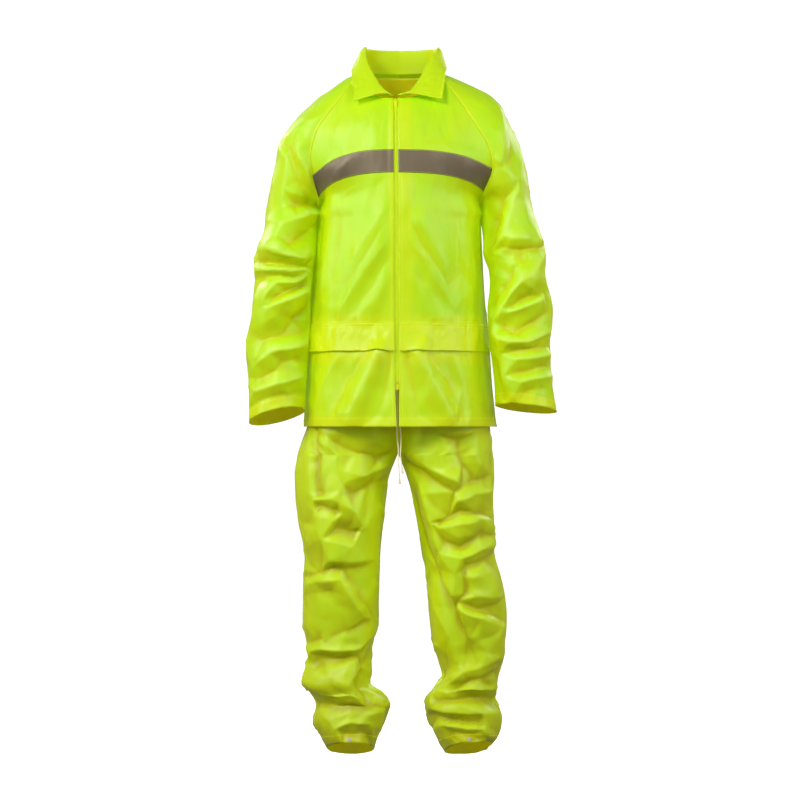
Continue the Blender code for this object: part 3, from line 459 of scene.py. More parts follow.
def unroll(grid, start):
    """Lengths across and down each point of a grid, mm. Across is counted from column start."""
    across = np.concatenate([np.zeros((len(grid), 1)), np.cumsum(np.linalg.norm(np.diff(grid, axis=1), axis=2), axis=1)], axis=1)
    across = across - across[:, start : start + 1]
    down = np.concatenate([np.zeros((1, grid.shape[1])), np.cumsum(np.linalg.norm(np.diff(grid, axis=0), axis=2), axis=0)], axis=0)
    return across, down.mean(axis=1, keepdims=True) * 0.65 + down * 0.35


def grid_normals(grid, closed=False):
    du = np.gradient(grid, axis=1)
    if closed:
        du[:, 0] = du[:, -1] = (grid[:, 1] - grid[:, -2]) / 2
    dv = np.gradient(grid, axis=0)
    n = np.cross(du, dv)
    return n / np.maximum(np.linalg.norm(n, axis=2), 1e-9)[..., None]


def seen_at(grid):
    """Drafting-grid place of each point."""
    f = 4500.0 / (grid[..., 1] - EYE[1])
    return 400 + (grid[..., 0] - EYE[0]) / UNIT * f, 400 - (grid[..., 2] - EYE[2]) / UNIT * f


WIDE = 1.4  # width of every fold against its table


def facets(x, y, seed, size=64):
    """Random heights on a triangular lattice, flat between its points, so the cloth breaks into plain facets."""
    table = np.random.RandomState(seed).uniform(-1, 1, (size, size))
    u, v = x - y / math.sqrt(3), 2 * y / math.sqrt(3)
    i, j = np.floor(u).astype(int), np.floor(v).astype(int)
    a, b = u - i, v - j
    upper = a + b > 1
    corner = lambda p, q: table[(i + p) % size, (j + q) % size]
    low = corner(0, 0) * (1 - a - b) + corner(1, 0) * a + corner(0, 1) * b
    high = corner(1, 1) * (a + b - 1) + corner(0, 1) * (1 - a) + corner(1, 0) * (1 - b)
    return np.where(upper, high, low)


class Cloth:
    """A fine grid of one panel with its own lengths, into which folds are pressed."""

    double, shade = 0, 0

    def __init__(self, name, grid, outward, closed=False, start=0):
        self.name, self.grid, self.closed = name, grid, closed
        n = grid_normals(grid, closed)
        if np.einsum("ijk,ijk->", n, outward) < 0:
            n = -n
        self.n = n
        self.s, self.t = unroll(grid, start)
        self.gx, self.gy = seen_at(grid)
        self.facing = -self.n[..., 1]
        self.d = np.zeros(grid.shape[:2])
        self.calm = np.ones(grid.shape[:2])
        self.fold = 1.7  # height of every fold against its table
        # double: 1 where the cloth is double; shade: 1 where painted shade lies on it
        self.double = self.shade = 0 * self.d  # 1 where the cloth is double, 1 where it lies in shade
        seed = sum(ord(ch) for ch in name)
        self.ws = self.s + 5.0 * noise(self.s / 55, self.t / 55, seed) + 1.6 * noise(self.s / 17, self.t / 17, seed + 1)
        self.wt = self.t + 5.0 * noise(self.s / 55, self.t / 55, seed + 2) + 1.6 * noise(self.s / 17, self.t / 17, seed + 3)

    def place(self, x, y, face=1):
        """Lengths across and down at a drafting-grid place on the front, or with face -1 on the back."""
        cost = (self.gx - x) ** 2 + (self.gy - y) ** 2 + np.where(self.facing * face > 0.02, 0, 1e6)
        i, j = np.unravel_index(np.argmin(cost), cost.shape)
        return self.s[i, j], self.t[i, j]

    def press(self, a, b, up, down, h, bow=0.0, ends=0.4, crisp=0.07):
        """A fold from a to b, places in lengths across and down. up and down: widths to the left and right of its line,
        h: height, + out. bow: how far its middle bends to the left."""
        (s0, t0), (s1, t1) = a, b
        ls, lt = s1 - s0, t1 - t0
        length = max(math.hypot(ls, lt), 1e-6)
        es, et = ls / length, lt / length
        k = ((self.ws - s0) * es + (self.wt - t0) * et) / length
        off = (self.ws - s0) * -et + (self.wt - t0) * es
        kk = np.clip(k, 0, 1)
        off = off - bow * 4 * kk * (1 - kk)
        w = WIDE * np.where(off > 0, up, down) * (0.35 + 0.65 * np.sin(kk * math.pi) ** 0.8)
        x = np.abs(off) / w
        top = (math.sqrt(1 + crisp**2) - np.sqrt(x * x + crisp**2)) / (math.sqrt(1 + crisp**2) - crisp)
        top = np.clip(top, 0, 1) ** 1.12
        taper = smooth(np.clip(k / ends, 0, 1)) * smooth(np.clip((1 - k) / ends, 0, 1))
        self.d += self.fold * h * top * taper
        return self

    def planes(self, lines, scale=1.0, face=1, soft=0, step=9):
        """Flat facets between the lines of a table and the edge of what faces the front, or with face -1 the back."""
        spots, heights, edges = [], [], []
        for line in lines:
            for k, (x, y, h) in enumerate(line):
                spots.append(self.place(x, y, face))
                heights.append(h)
                if k:
                    edges.append((len(spots) - 2, len(spots) - 1))
        seen = self.facing * face > 0.1
        for i in list(range(0, len(seen), step)) + [len(seen) - 1]:
            js = np.nonzero(seen[i])[0]
            if len(js) > 2:
                for j in {js[0], js[-1]} if 0 < i < len(seen) - 1 else set(js[:: max(1, len(js) // 8)]):
                    spots.append((self.s[i, j], self.t[i, j]))
                    heights.append(0.0)
        made = delaunay_2d_cdt([Vector((float(a), float(b))) for a, b in spots], edges, [], 0, 0.05)
        verts = np.array([tuple(v) for v in made[0]])
        level = []
        for v, source in zip(verts, made[3]):
            if len(source):
                level.append(heights[source[0]])
            else:
                apart = np.hypot(*(np.array(spots) - v).T)
                near = np.argsort(apart)[:3]
                level.append(float(np.average(np.array(heights)[near], weights=1 / (apart[near] + 1))))
        seed = len(spots)
        ps = self.s + 1.6 * noise(self.s / 26, self.t / 26, seed)
        pt = self.t + 1.6 * noise(self.s / 26, self.t / 26, seed + 1)
        out = np.zeros(self.s.shape)
        for tri in made[2]:
            a, b, c = verts[list(tri)]
            det = (b[0] - a[0]) * (c[1] - a[1]) - (c[0] - a[0]) * (b[1] - a[1])
            if abs(det) < 1e-9:
                continue
            u = ((ps - a[0]) * (c[1] - a[1]) - (c[0] - a[0]) * (pt - a[1])) / det
            v = ((b[0] - a[0]) * (pt - a[1]) - (ps - a[0]) * (b[1] - a[1])) / det
            inside = (u >= -1e-9) & (v >= -1e-9) & (u + v <= 1 + 1e-9)
            out = np.where(inside, level[tri[0]] * (1 - u - v) + level[tri[1]] * u + level[tri[2]] * v, out)
        self.d += scale * (blur(out, soft) if soft else out)

    def strokes(self, rows, face=1):
        for row in rows:
            x0, y0, x1, y1, up, down, h = row[:7]
            bow = row[7] if len(row) > 7 else 0
            crisp = row[8] if len(row) > 8 else 0.07
            a, b = self.place(x0, y0, face), self.place(x1, y1, face)
            self.press(a, b, up, down, h, bow, crisp=crisp)

    def scatter(self, seed, count, region, angle, spread, length, width, height, crisp=0.06):
        """Small uneven folds: count of them in the region (s low, s high, t low, t high), about an angle in degrees
        from across."""
        rng = np.random.RandomState(seed)
        for _ in range(count):
            s = rng.uniform(region[0], region[1])
            t = rng.uniform(region[2], region[3])
            a = math.radians(angle + rng.normal() * spread)
            l = rng.uniform(*length) / 2
            w = rng.uniform(*width)
            h = rng.uniform(*height) * (1 if rng.rand() < 0.6 else -0.8)
            skew = rng.uniform(0.5, 1.6)
            self.press((s - l * math.cos(a), t - l * math.sin(a)), (s + l * math.cos(a), t + l * math.sin(a)), w * skew, w / skew, h, rng.normal() * l * 0.14, ends=0.5, crisp=crisp)

    def points(self, extra=0.0):
        return self.grid + self.n * (self.d * self.calm + extra)[..., None]


def blur(a, cells):
    """Mean over a window of 2 cells + 1 each way."""
    for axis in (0, 1):
        pad = [(cells + 1, cells) if k == axis else (0, 0) for k in (0, 1)]
        run = np.cumsum(np.pad(a, pad, mode="edge"), axis=axis)
        n = a.shape[axis]
        high = np.take(run, np.arange(2 * cells + 1, 2 * cells + 1 + n), axis=axis)
        low = np.take(run, np.arange(0, n), axis=axis)
        a = (high - low) / (2 * cells + 1)
    return a


def tone_of(cloth, normals):
    """Red: how yellow, where the cloth is double, plus painted shade that yellows it where it turns down or aside or
    lies in a fold. Green: painted shade, darker in folds and where the cloth turns down. Blue: a painted highlight on
    raised cloth that faces up.
    """
    relief = cloth.d * cloth.calm
    near, wide = relief - blur(relief, 3), relief - blur(relief, 9)
    # painted shade in the folds, and a painted highlight on raised cloth
    painted_shade = np.clip(-near / 1.8 - 0.15, 0, 1) * (0.6 if cloth.name.startswith("trouser") else 0.22) + np.clip(-wide / 6.0 - 0.15, 0, 1) * 0.6
    painted_highlight = np.clip(near / 2.0 - 0.1, 0, 1) * 0.5 + np.clip(wide / 5.0 - 0.1, 0, 1) * 0.7
    # painted shade: cloth that faces down or sideways is made yellower, and cloth that faces down is made darker
    turned = np.clip(-normals[..., 2] * 1.8, 0, 1)
    beside = np.clip(np.abs(normals[..., 0]) * 2.2 - 1.3, 0, 1)
    # yellow: where the cloth is double, plus painted shade
    yellow = 0.7 * turned + 0.7 * beside + 0.9 * np.clip(painted_shade, 0, 1) + cloth.double + 0.6 * cloth.shade
    painted_shade = np.clip(painted_shade + 0.35 * turned, 0, 1) + cloth.shade
    painted_highlight = painted_highlight * np.clip(0.4 + normals[..., 2] * 1.4, 0, 1) * (1 - np.clip(cloth.shade, 0, 1))
    return np.stack([np.clip(yellow, 0, 1), np.clip(painted_shade, 0, 1), np.clip(painted_highlight, 0, 1), np.ones_like(painted_shade)], -1)


def mesh_from(name, verts, faces, mats, shade=True, uvs=None):
    me = bpy.data.meshes.new(name)
    me.from_pydata([tuple(v) for v in (np.asarray(verts) * MM)], [], faces)
    me.update()
    ob = bpy.data.objects.new(name, me)
    bpy.context.scene.collection.objects.link(ob)
    for m in mats if isinstance(mats, (list, tuple)) else [mats]:
        me.materials.append(m)
    if shade:
        me.polygons.foreach_set("use_smooth", [True] * len(me.polygons))
    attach(ob, "root")
    return ob


def shell(name, cloth, thickness, mat, nodes=(), wrap_from=None, extra=0.0):
    """A thin closed shell under the cloth's face. Stores lengths across and down as a UV map in metres."""
    outer = cloth.points(extra)
    rows, cols = outer.shape[:2]
    n = grid_normals(outer, False)
    if np.einsum("ijk,ijk->", n, cloth.n) < 0:
        n = -n
    if wrap_from is not None:
        n[wrap_from:, -1] = n[wrap_from:, 0] = n[wrap_from:, 0] + n[wrap_from:, -1]
        n /= np.linalg.norm(n, axis=2)[..., None]
    inner = outer - n * thickness
    idx = np.arange(rows * cols).reshape(rows, cols)
    if wrap_from is not None:
        idx[wrap_from:, -1] = idx[wrap_from:, 0]
    a, b, c, d = idx[:-1, :-1].ravel(), idx[:-1, 1:].ravel(), idx[1:, 1:].ravel(), idx[1:, :-1].ravel()
    f = np.stack([a, b, c, d], 1)
    flip = np.einsum("ijk,ijk->", np.cross(np.gradient(outer, axis=1), np.gradient(outer, axis=0)), cloth.n) < 0
    if flip:
        f = f[:, ::-1]
    count = rows * cols
    inner_f = f[:, ::-1] + count
    edges = np.concatenate([f[:, [k, (k + 1) % 4]] for k in range(4)])
    key = edges[:, 0].astype(np.int64) * count + edges[:, 1]
    back = edges[:, 1].astype(np.int64) * count + edges[:, 0]
    rim = edges[~np.isin(key, back)]
    rim_f = np.stack([rim[:, 1], rim[:, 0], rim[:, 0] + count, rim[:, 1] + count], 1)
    faces = np.concatenate([f, inner_f, rim_f])
    verts = np.concatenate([outer.reshape(-1, 3), inner.reshape(-1, 3)])
    used = np.zeros(len(verts), bool)
    used[faces.ravel()] = True
    new = np.cumsum(used) - 1
    st = np.stack([cloth.s.ravel(), cloth.t.ravel()], 1)
    st = np.concatenate([st, st])[used] * MM
    faces = new[faces]
    ob = mesh_from(name, verts[used], faces.tolist(), mat)
    me = ob.data
    tone = tone_of(cloth, n).reshape(-1, 4)
    # inner faces: yellower, with a little painted shade
    tone = np.concatenate([tone, np.tile([0.7, 0.1, 0, 1], (len(tone), 1))])[used]
    me.color_attributes.new("tone", "FLOAT_COLOR", "POINT").data.foreach_set("color", tone.ravel())
    if len(me.materials) > 1:
        me.polygons.foreach_set("material_index", [0] * len(f) + [1] * (len(faces) - len(f)))
    layer = me.uv_layers.new(name="cut")
    loops = np.empty(len(me.loops), int)
    me.loops.foreach_get("vertex_index", loops)
    layer.data.foreach_set("uv", st[loops].ravel())
    if nodes:
        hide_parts(*nodes)
    ob["cloth_area"] = float(np.linalg.norm(np.cross(outer[1:, :-1] - outer[:-1, :-1], outer[:-1, 1:] - outer[:-1, :-1]), axis=2).sum() * MM * MM)
    return ob


# ---------------------------------------------------------------- materials


def new_material(name):
    m = bpy.data.materials.new(name)
    m.use_nodes = True
    nt = m.node_tree
    return m, nt, nt.nodes["Principled BSDF"]


def cloth_material(name, green=(0.46, 0.80, 0.004), yellow=(0.66, 0.79, 0.001), deep=(0.44, 0.42, 0.0), painted_highlight_colour=(0.68, 0.92, 0.16), glow=0.11, rough=0.42, fine=1.0):
    """Coated fluorescent nylon: a fine plain weave under a soft plastic sheen, small stretched crinkles, greener
    where it is single and lies flat, yellower where it is double. Painted shade makes it yellower where it turns down
    or aside and darker olive deep in a fold, and a painted whitish highlight lies on raised cloth."""
    m, nt, s = new_material(name)
    N, L = nt.nodes, nt.links
    uv = N.new("ShaderNodeUVMap")
    uv.uv_map = "cut"
    s.inputs["Roughness"].default_value = rough
    s.inputs["IOR"].default_value = 1.45
    s.inputs["Specular IOR Level"].default_value = 0.38
    s.inputs["Coat Weight"].default_value = 0.16
    s.inputs["Coat Roughness"].default_value = 0.36
    tone = N.new("ShaderNodeVertexColor")
    tone.layer_name = "tone"
    part = N.new("ShaderNodeSeparateColor")
    L.new(tone.outputs["Color"], part.inputs["Color"])

    def mixed(fac, a, b, top=1.0):
        node = N.new("ShaderNodeMix")
        node.data_type = "RGBA"
        scaled = N.new("ShaderNodeMath")
        scaled.operation = "MULTIPLY"
        scaled.use_clamp = True
        scaled.inputs[1].default_value = top
        L.new(fac, scaled.inputs[0])
        L.new(scaled.outputs[0], node.inputs[0])
        for k, q in ((6, a), (7, b)):
            if isinstance(q, tuple):
                node.inputs[k].default_value = (*q, 1)
            else:
                L.new(q, node.inputs[k])
        return node.outputs[2]

    # slow uneven colour over the cloth
    n1 = N.new("ShaderNodeTexNoise")
    n1.inputs["Scale"].default_value = 8.0
    n1.inputs["Detail"].default_value = 5.0
    n1.inputs["Roughness"].default_value = 0.6
    L.new(uv.outputs["UV"], n1.inputs["Vector"])
    wander = N.new("ShaderNodeMapRange")
    wander.inputs["From Min"].default_value, wander.inputs["From Max"].default_value = 0.38, 0.68
    wander.inputs["To Min"].default_value, wander.inputs["To Max"].default_value = 0.0, 0.45
    L.new(n1.outputs["Fac"], wander.inputs["Value"])
    colour = mixed(wander.outputs["Result"], green, yellow)
    # the tone's red makes it yellower where it is double and where painted shade lies; its green darkens it to olive,
    # painted shade; its blue whitens it, a painted highlight
    colour = mixed(part.outputs["Red"], colour, yellow)
    colour = mixed(part.outputs["Green"], colour, deep, 0.54)
    colour = mixed(part.outputs["Blue"], colour, painted_highlight_colour, 0.42)
    L.new(colour, s.inputs["Base Color"])
    # painted light: the cloth glows faintly with its own colour, painted shade and highlight included
    L.new(colour, s.inputs["Emission Color"])
    s.inputs["Emission Strength"].default_value = glow
    # crinkles: ridges stretched along and across the cloth, then the weave
    last = None
    for scale, turn, stretch, strength, distance in ((24.0, 14, 0.28, 0.75, 0.0030), (38.0, -62, 0.32, 0.6, 0.0022), (90.0, 30, 0.5, 0.4, 0.0008)):
        place = N.new("ShaderNodeMapping")
        place.inputs["Rotation"].default_value = (0, 0, math.radians(turn))
        place.inputs["Scale"].default_value = (1, stretch, 1)
        L.new(uv.outputs["UV"], place.inputs["Vector"])
        crinkle = N.new("ShaderNodeTexNoise")
        crinkle.noise_type = "RIDGED_MULTIFRACTAL"
        crinkle.inputs["Scale"].default_value = scale
        crinkle.inputs["Detail"].default_value = 2.5
        crinkle.inputs["Roughness"].default_value = 0.5
        crinkle.inputs["Distortion"].default_value = 0.5
        L.new(place.outputs["Vector"], crinkle.inputs["Vector"])
        bump = N.new("ShaderNodeBump")
        bump.inputs["Strength"].default_value = strength * fine
        bump.inputs["Distance"].default_value = distance
        L.new(crinkle.outputs["Fac"], bump.inputs["Height"])
        if last is not None:
            L.new(last.outputs["Normal"], bump.inputs["Normal"])
        last = bump
    wave1, wave2 = N.new("ShaderNodeTexWave"), N.new("ShaderNodeTexWave")
    wave1.bands_direction, wave2.bands_direction = "X", "Y"
    add = N.new("ShaderNodeMath")
    add.operation = "ADD"
    for w in (wave1, wave2):
        w.inputs["Scale"].default_value = 620.0
        L.new(uv.outputs["UV"], w.inputs["Vector"])
    L.new(wave1.outputs["Fac"], add.inputs[0])
    L.new(wave2.outputs["Fac"], add.inputs[1])
    b2 = N.new("ShaderNodeBump")
    b2.inputs["Strength"].default_value = 0.08
    b2.inputs["Distance"].default_value = 0.0003
    L.new(add.outputs[0], b2.inputs["Height"])
    L.new(last.outputs["Normal"], b2.inputs["Normal"])
    L.new(b2.outputs["Normal"], s.inputs["Normal"])
    return m


def plain_material(name, colour, rough=0.5, metal=0.0, scale=300.0, bump=0.2, distance=0.0004, glow=0.0, coat=0.0):
    m, nt, s = new_material(name)
    N, L = nt.nodes, nt.links
    co = N.new("ShaderNodeTexCoord")
    n1 = N.new("ShaderNodeTexNoise")
    n1.inputs["Scale"].default_value = scale
    n1.inputs["Detail"].default_value = 4.0
    L.new(co.outputs["Object"], n1.inputs["Vector"])
    mix = N.new("ShaderNodeMix")
    mix.data_type = "RGBA"
    mix.inputs[6].default_value = (*[q * 0.88 for q in colour], 1)
    mix.inputs[7].default_value = (*[min(q * 1.1, 1) for q in colour], 1)
    L.new(n1.outputs["Fac"], mix.inputs[0])
    L.new(mix.outputs[2], s.inputs["Base Color"])
    # where glow is set the surface glows with its own colour: for the floor and backdrop this makes them evenly bright,
    # for the other parts it is painted light
    if glow:
        L.new(mix.outputs[2], s.inputs["Emission Color"])
        s.inputs["Emission Strength"].default_value = glow
    b = N.new("ShaderNodeBump")
    b.inputs["Strength"].default_value = bump
    b.inputs["Distance"].default_value = distance
    L.new(n1.outputs["Fac"], b.inputs["Height"])
    L.new(b.outputs["Normal"], s.inputs["Normal"])
    s.inputs["Roughness"].default_value = rough
    s.inputs["Metallic"].default_value = metal
    s.inputs["Coat Weight"].default_value = coat
    return m


# the cloth materials glow faintly with their own colour as painted light
CLOTH_MAT = cloth_material("coated_nylon")
COLLAR_MAT = cloth_material("coated_nylon_collar", fine=0.8)
LEG_MAT = cloth_material("coated_nylon_trousers", (0.55, 0.83, 0.008), (0.66, 0.74, 0.001), (0.30, 0.28, 0.0), (0.60, 0.84, 0.03), glow=0.10)
TAPE_MAT = plain_material("retroreflective_tape", (0.205, 0.160, 0.095), rough=0.45, metal=0.25, scale=900, bump=0.25, distance=0.0003)
# the zip, slider, studs, cord, inside and thread glow a little with their own colour: painted light
ZIP_TAPE_MAT = plain_material("zip_tape", (0.66, 0.80, 0.005), rough=0.7, scale=1500, bump=0.4, glow=0.22)
ZIP_MAT = plain_material("zip_coil", (0.66, 0.86, 0.010), rough=0.4, scale=500, bump=0.05, glow=0.24)
METAL_MAT = plain_material("enamelled_slider", (0.72, 0.80, 0.01), rough=0.3, metal=0.0, scale=400, bump=0.05, glow=0.18)
STUD_MAT = plain_material("nickel_stud", (0.80, 0.78, 0.70), rough=0.3, metal=0.55, scale=600, bump=0.08, glow=0.12)
CORD_MAT = plain_material("cotton_cord", (0.86, 0.76, 0.50), rough=0.85, scale=900, bump=0.7, distance=0.0008, glow=0.14)
INSIDE_MAT = plain_material("coated_nylon_inside", (0.66, 0.64, 0.002), rough=0.6, scale=60, bump=0.3, distance=0.002, glow=0.15)
THREAD_MAT = plain_material("sewing_thread", (0.80, 0.88, 0.03), rough=0.5, scale=900, bump=0.3, glow=0.3)

# ---------------------------------------------------------------- cloth pieces

THICK = 0.9  # coated nylon with its seams pressed, mm
STROKES = ("x0", "y0", "x1", "y1", "under", "over", "h", "bow", "crisp")
SLEEVE_TABLES = {"right": SLEEVE_RIGHT, "left": SLEEVE_LEFT}
LEG_TABLES = {"right": LEG_RIGHT, "left": LEG_LEFT}

# Main folds. x0 y0 x1 y1: the line on the drafting grid, drawn left to right or downward. under: width below it, or
# to its left when it runs downward. over: width on the other side. h: height, + out. bow: bend toward under.
SLEEVE_RIGHT_FOLDS = [
    (299, 122, 309, 178, 12, 20, 5.0, 3),
    (281, 142, 297, 166, 20, 8, 4.0, 0),
    (296, 166, 318, 202, 10, 7, -3.5, 4),
    (297, 204, 322, 208, 10, 7, -4.0, 0),
    (293, 223, 321, 209, 10, 24, 5.0, -3),
    (285, 216, 270, 244, 20, 22, 5.0, 0),
    (270, 244, 301, 259, 14, 30, 6.0, 0),
    (254, 263, 308, 265, 8, 11, -6.5, -3),
    (255, 272, 306, 272, 15, 9, 4.5, 4),
    (275, 281, 307, 265, 20, 10, 5.0, -4),
    (275, 281, 265, 303, 14, 14, 5.0, 0),
    (265, 303, 306, 284, 16, 14, 5.0, 3),
    (255, 316, 306, 286, 30, 12, 5.5, 4),
    (270, 308, 310, 323, 14, 14, -6.0, 0),
    (260, 343, 307, 332, 24, 14, 5.0, -3),
    (254, 330, 262, 372, 14, 20, 3.5, 2),
    (262, 343, 281, 350, 12, 9, 3.0, 0),
    (281, 350, 300, 372, 12, 16, 3.5, 0),
    (252, 375, 285, 362, 14, 12, 3.0, 2),
    (286, 372, 306, 396, 12, 16, 3.0, -2),
    (253, 398, 276, 384, 12, 14, 3.0, 2),
    (266, 396, 300, 404, 12, 12, -2.5, 2),
    (270, 168, 292, 192, 20, 14, 3.0, 3),
    (273, 196, 288, 214, 12, 14, -3.0, 0),
]
SLEEVE_LEFT_FOLDS = [
    (499, 106, 499, 172, 16, 10, 4.5, -5),
    (510, 122, 520, 160, 16, 12, 3.5, 0),
    (518, 178, 505, 240, 16, 12, 5.5, 3),
    (503, 203, 486, 252, 7, 10, -6.5, 0),
    (504, 245, 542, 248, 9, 9, -5.0, -3),
    (498, 236, 538, 236, 14, 18, 4.5, 4),
    (510, 264, 530, 253, 12, 10, -4.5, 0),
    (541, 254, 501, 310, 14, 24, 6.0, 0),
    (537, 286, 516, 296, 10, 14, 4.5, 0),
    (503, 312, 537, 298, 18, 12, 5.5, 0),
    (550, 302, 512, 334, 16, 14, -5.5, 0),
    (494, 318, 499, 338, 10, 14, 4.5, 0),
    (499, 338, 529, 342, 16, 12, 5.0, 3),
    (519, 350, 550, 344, 12, 9, -3.5, 0),
    (517, 362, 549, 356, 12, 9, 3.5, 2),
    (522, 376, 551, 369, 12, 9, -3.0, 0),
    (524, 388, 552, 384, 12, 9, 3.5, 2),
    (500, 352, 512, 398, 16, 16, 4.0, 3),
    (520, 398, 552, 399, 10, 9, -3.0, 0),
    (512, 344, 522, 400, 10, 12, -3.0, -3),
    (532, 348, 540, 396, 12, 10, 3.0, 3),
    (525, 190, 533, 236, 12, 12, -3.0, 0),
]
FRONT_RIGHT_FOLDS = [
    (334, 172, 331, 232, 8, 30, 5.0, -2, 0.06),
    (331, 228, 319, 300, 8, 34, 5.0, 2, 0.06),
    (384, 238, 338, 312, 26, 20, 4.5, 6),
    (388, 200, 352, 262, 22, 18, 3.5, 5),
    (386, 278, 356, 320, 20, 14, 3.5, 4),
    (372, 180, 352, 232, 16, 20, -3.5, 3),
    (322, 232, 314, 300, 10, 12, -4.0, 0),
    (346, 210, 330, 268, 12, 14, -3.5, 0),
    (350, 268, 318, 318, 16, 12, 3.5, 3),
    (343, 112, 331, 150, 16, 12, 3.5, 0),
    (371, 106, 360, 150, 16, 14, -2.5, 3),
    (388, 116, 383, 146, 10, 12, 2.0, 0),
    (378, 351, 348, 418, 28, 20, 5.5, 4),
    (350, 352, 326, 418, 18, 18, -4.0, 3),
    (334, 352, 312, 410, 18, 16, 4.0, 3),
    (392, 370, 378, 420, 14, 14, -3.0, 2),
    (322, 322, 318, 352, 10, 10, -2.5, 0),
    (366, 303, 362, 322, 10, 10, 2.5, 0),
    (340, 304, 338, 322, 10, 10, 2.5, 0),
]
FRONT_LEFT_FOLDS = [
    (412, 236, 452, 304, 20, 26, 4.5, -6),
    (408, 196, 446, 262, 18, 22, 3.5, -5),
    (416, 278, 440, 318, 16, 18, 3.5, -3),
    (440, 182, 462, 240, 20, 14, -3.5, -3),
    (462, 200, 470, 292, 26, 14, 4.0, -4),
    (474, 196, 480, 290, 12, 10, -4.0, -2),
    (456, 262, 478, 314, 14, 16, 3.5, -3),
    (448, 108, 462, 150, 14, 16, 3.5, 0),
    (420, 106, 432, 150, 14, 16, -2.5, -3),
    (418, 352, 446, 420, 22, 28, 5.5, -4),
    (446, 356, 468, 420, 18, 18, -4.5, -3),
    (462, 352, 486, 416, 18, 16, 4.0, -3),
    (404, 372, 416, 420, 12, 14, -3.0, -2),
    (481, 303, 490, 426, 10, 14, -6.0, 0),
    (470, 306, 478, 350, 12, 12, 3.5, 0),
    (430, 303, 434, 322, 10, 10, 2.5, 0),
    (452, 304, 452, 322, 10, 10, 2.5, 0),
]
LEG_RIGHT_FOLDS = [
    (315, 428, 318, 494, 16, 34, 6.0, 4, 0.06),
    (318, 494, 332, 566, 16, 36, 6.0, 4, 0.06),
    (303, 430, 302, 480, 10, 14, -4.0, 0),
    (314, 503, 340, 501, 12, 10, -4.0, 0),
    (318, 494, 346, 470, 20, 14, 3.5, 3),
    (333, 526, 361, 526, 14, 12, -3.5, 2),
    (332, 540, 366, 510, 20, 18, 3.5, 3),
    (313, 590, 343, 590, 16, 12, -4.0, 2),
    (304, 575, 340, 562, 18, 14, 3.5, 0),
    (386, 470, 340, 530, 22, 18, 4.0, -5),
    (392, 466, 372, 560, 14, 16, -3.5, -3),
    (370, 436, 358, 500, 24, 20, 4.0, 3),
    (340, 432, 344, 470, 16, 14, -3.0, 0),
    (308, 545, 330, 520, 14, 12, 3.0, 0),
    (346, 566, 376, 610, 18, 20, 4.0, -3),
    (330, 580, 346, 640, 18, 18, 4.5, 4),
    (306, 612, 340, 622, 16, 14, -3.5, 3),
    (346, 622, 372, 602, 16, 14, 3.5, 0),
    (312, 640, 364, 636, 16, 16, 4.0, -3),
    (316, 653, 360, 654, 12, 12, -7.0, 3),
    (312, 666, 362, 668, 20, 14, 6.5, -3),
    (351, 662, 352, 702, 14, 12, 5.0, 3, 0.06),
    (303, 686, 346, 690, 14, 12, 5.5, -2),
    (316, 703, 388, 702, 12, 12, -8.0, -4),
    (318, 712, 386, 712, 16, 12, 5.0, 5),
    (317, 704, 337, 728, 12, 14, -4.0, 0),
    (337, 728, 368, 720, 12, 12, 4.5, 0),
    (352, 736, 378, 728, 10, 12, 3.0, 0),
    (362, 676, 384, 692, 12, 14, 5.0, 0),
]
LEG_LEFT_FOLDS = [
    (404, 456, 434, 477, 10, 16, -5.0, -3),
    (434, 477, 455, 490, 10, 16, -4.5, -2),
    (406, 448, 440, 462, 20, 16, 4.0, 0),
    (438, 522, 464, 541, 16, 14, 5.0, 0, 0.06),
    (464, 541, 482, 515, 16, 14, 5.0, 0, 0.06),
    (410, 486, 423, 544, 12, 16, -5.5, 3),
    (423, 544, 434, 566, 12, 14, -5.5, 0),
    (434, 564, 454, 613, 12, 16, -6.0, 2),
    (454, 613, 470, 638, 12, 14, -5.5, 0),
    (420, 484, 444, 560, 18, 26, 5.0, 5),
    (446, 566, 470, 622, 14, 24, 5.0, 3),
    (440, 430, 448, 500, 18, 22, 4.0, 3),
    (474, 432, 484, 500, 18, 14, 4.0, -3),
    (462, 500, 490, 486, 14, 14, -4.0, 2),
    (470, 560, 494, 536, 16, 16, 4.0, 2),
    (453, 600, 503, 625, 12, 20, -5.0, -4),
    (458, 590, 504, 606, 16, 14, 5.5, 0),
    (440, 640, 500, 648, 18, 14, 5.0, -4),
    (436, 584, 448, 640, 12, 14, 4.5, 0),
    (444, 664, 500, 662, 14, 12, -5.0, 5),
    (446, 676, 498, 682, 18, 14, 6.0, -3),
    (440, 697, 495, 696, 12, 12, -8.0, 3),
    (432, 688, 462, 668, 16, 12, 4.5, 0),
    (430, 704, 490, 706, 14, 10, 5.5, 3),
    (429, 716, 490, 715, 10, 10, -5.0, 2),
    (450, 727, 472, 728, 10, 9, -4.0, 0),
    (434, 730, 462, 720, 12, 10, 4.0, 0),
    (466, 736, 494, 722, 12, 10, 4.0, 0),
]
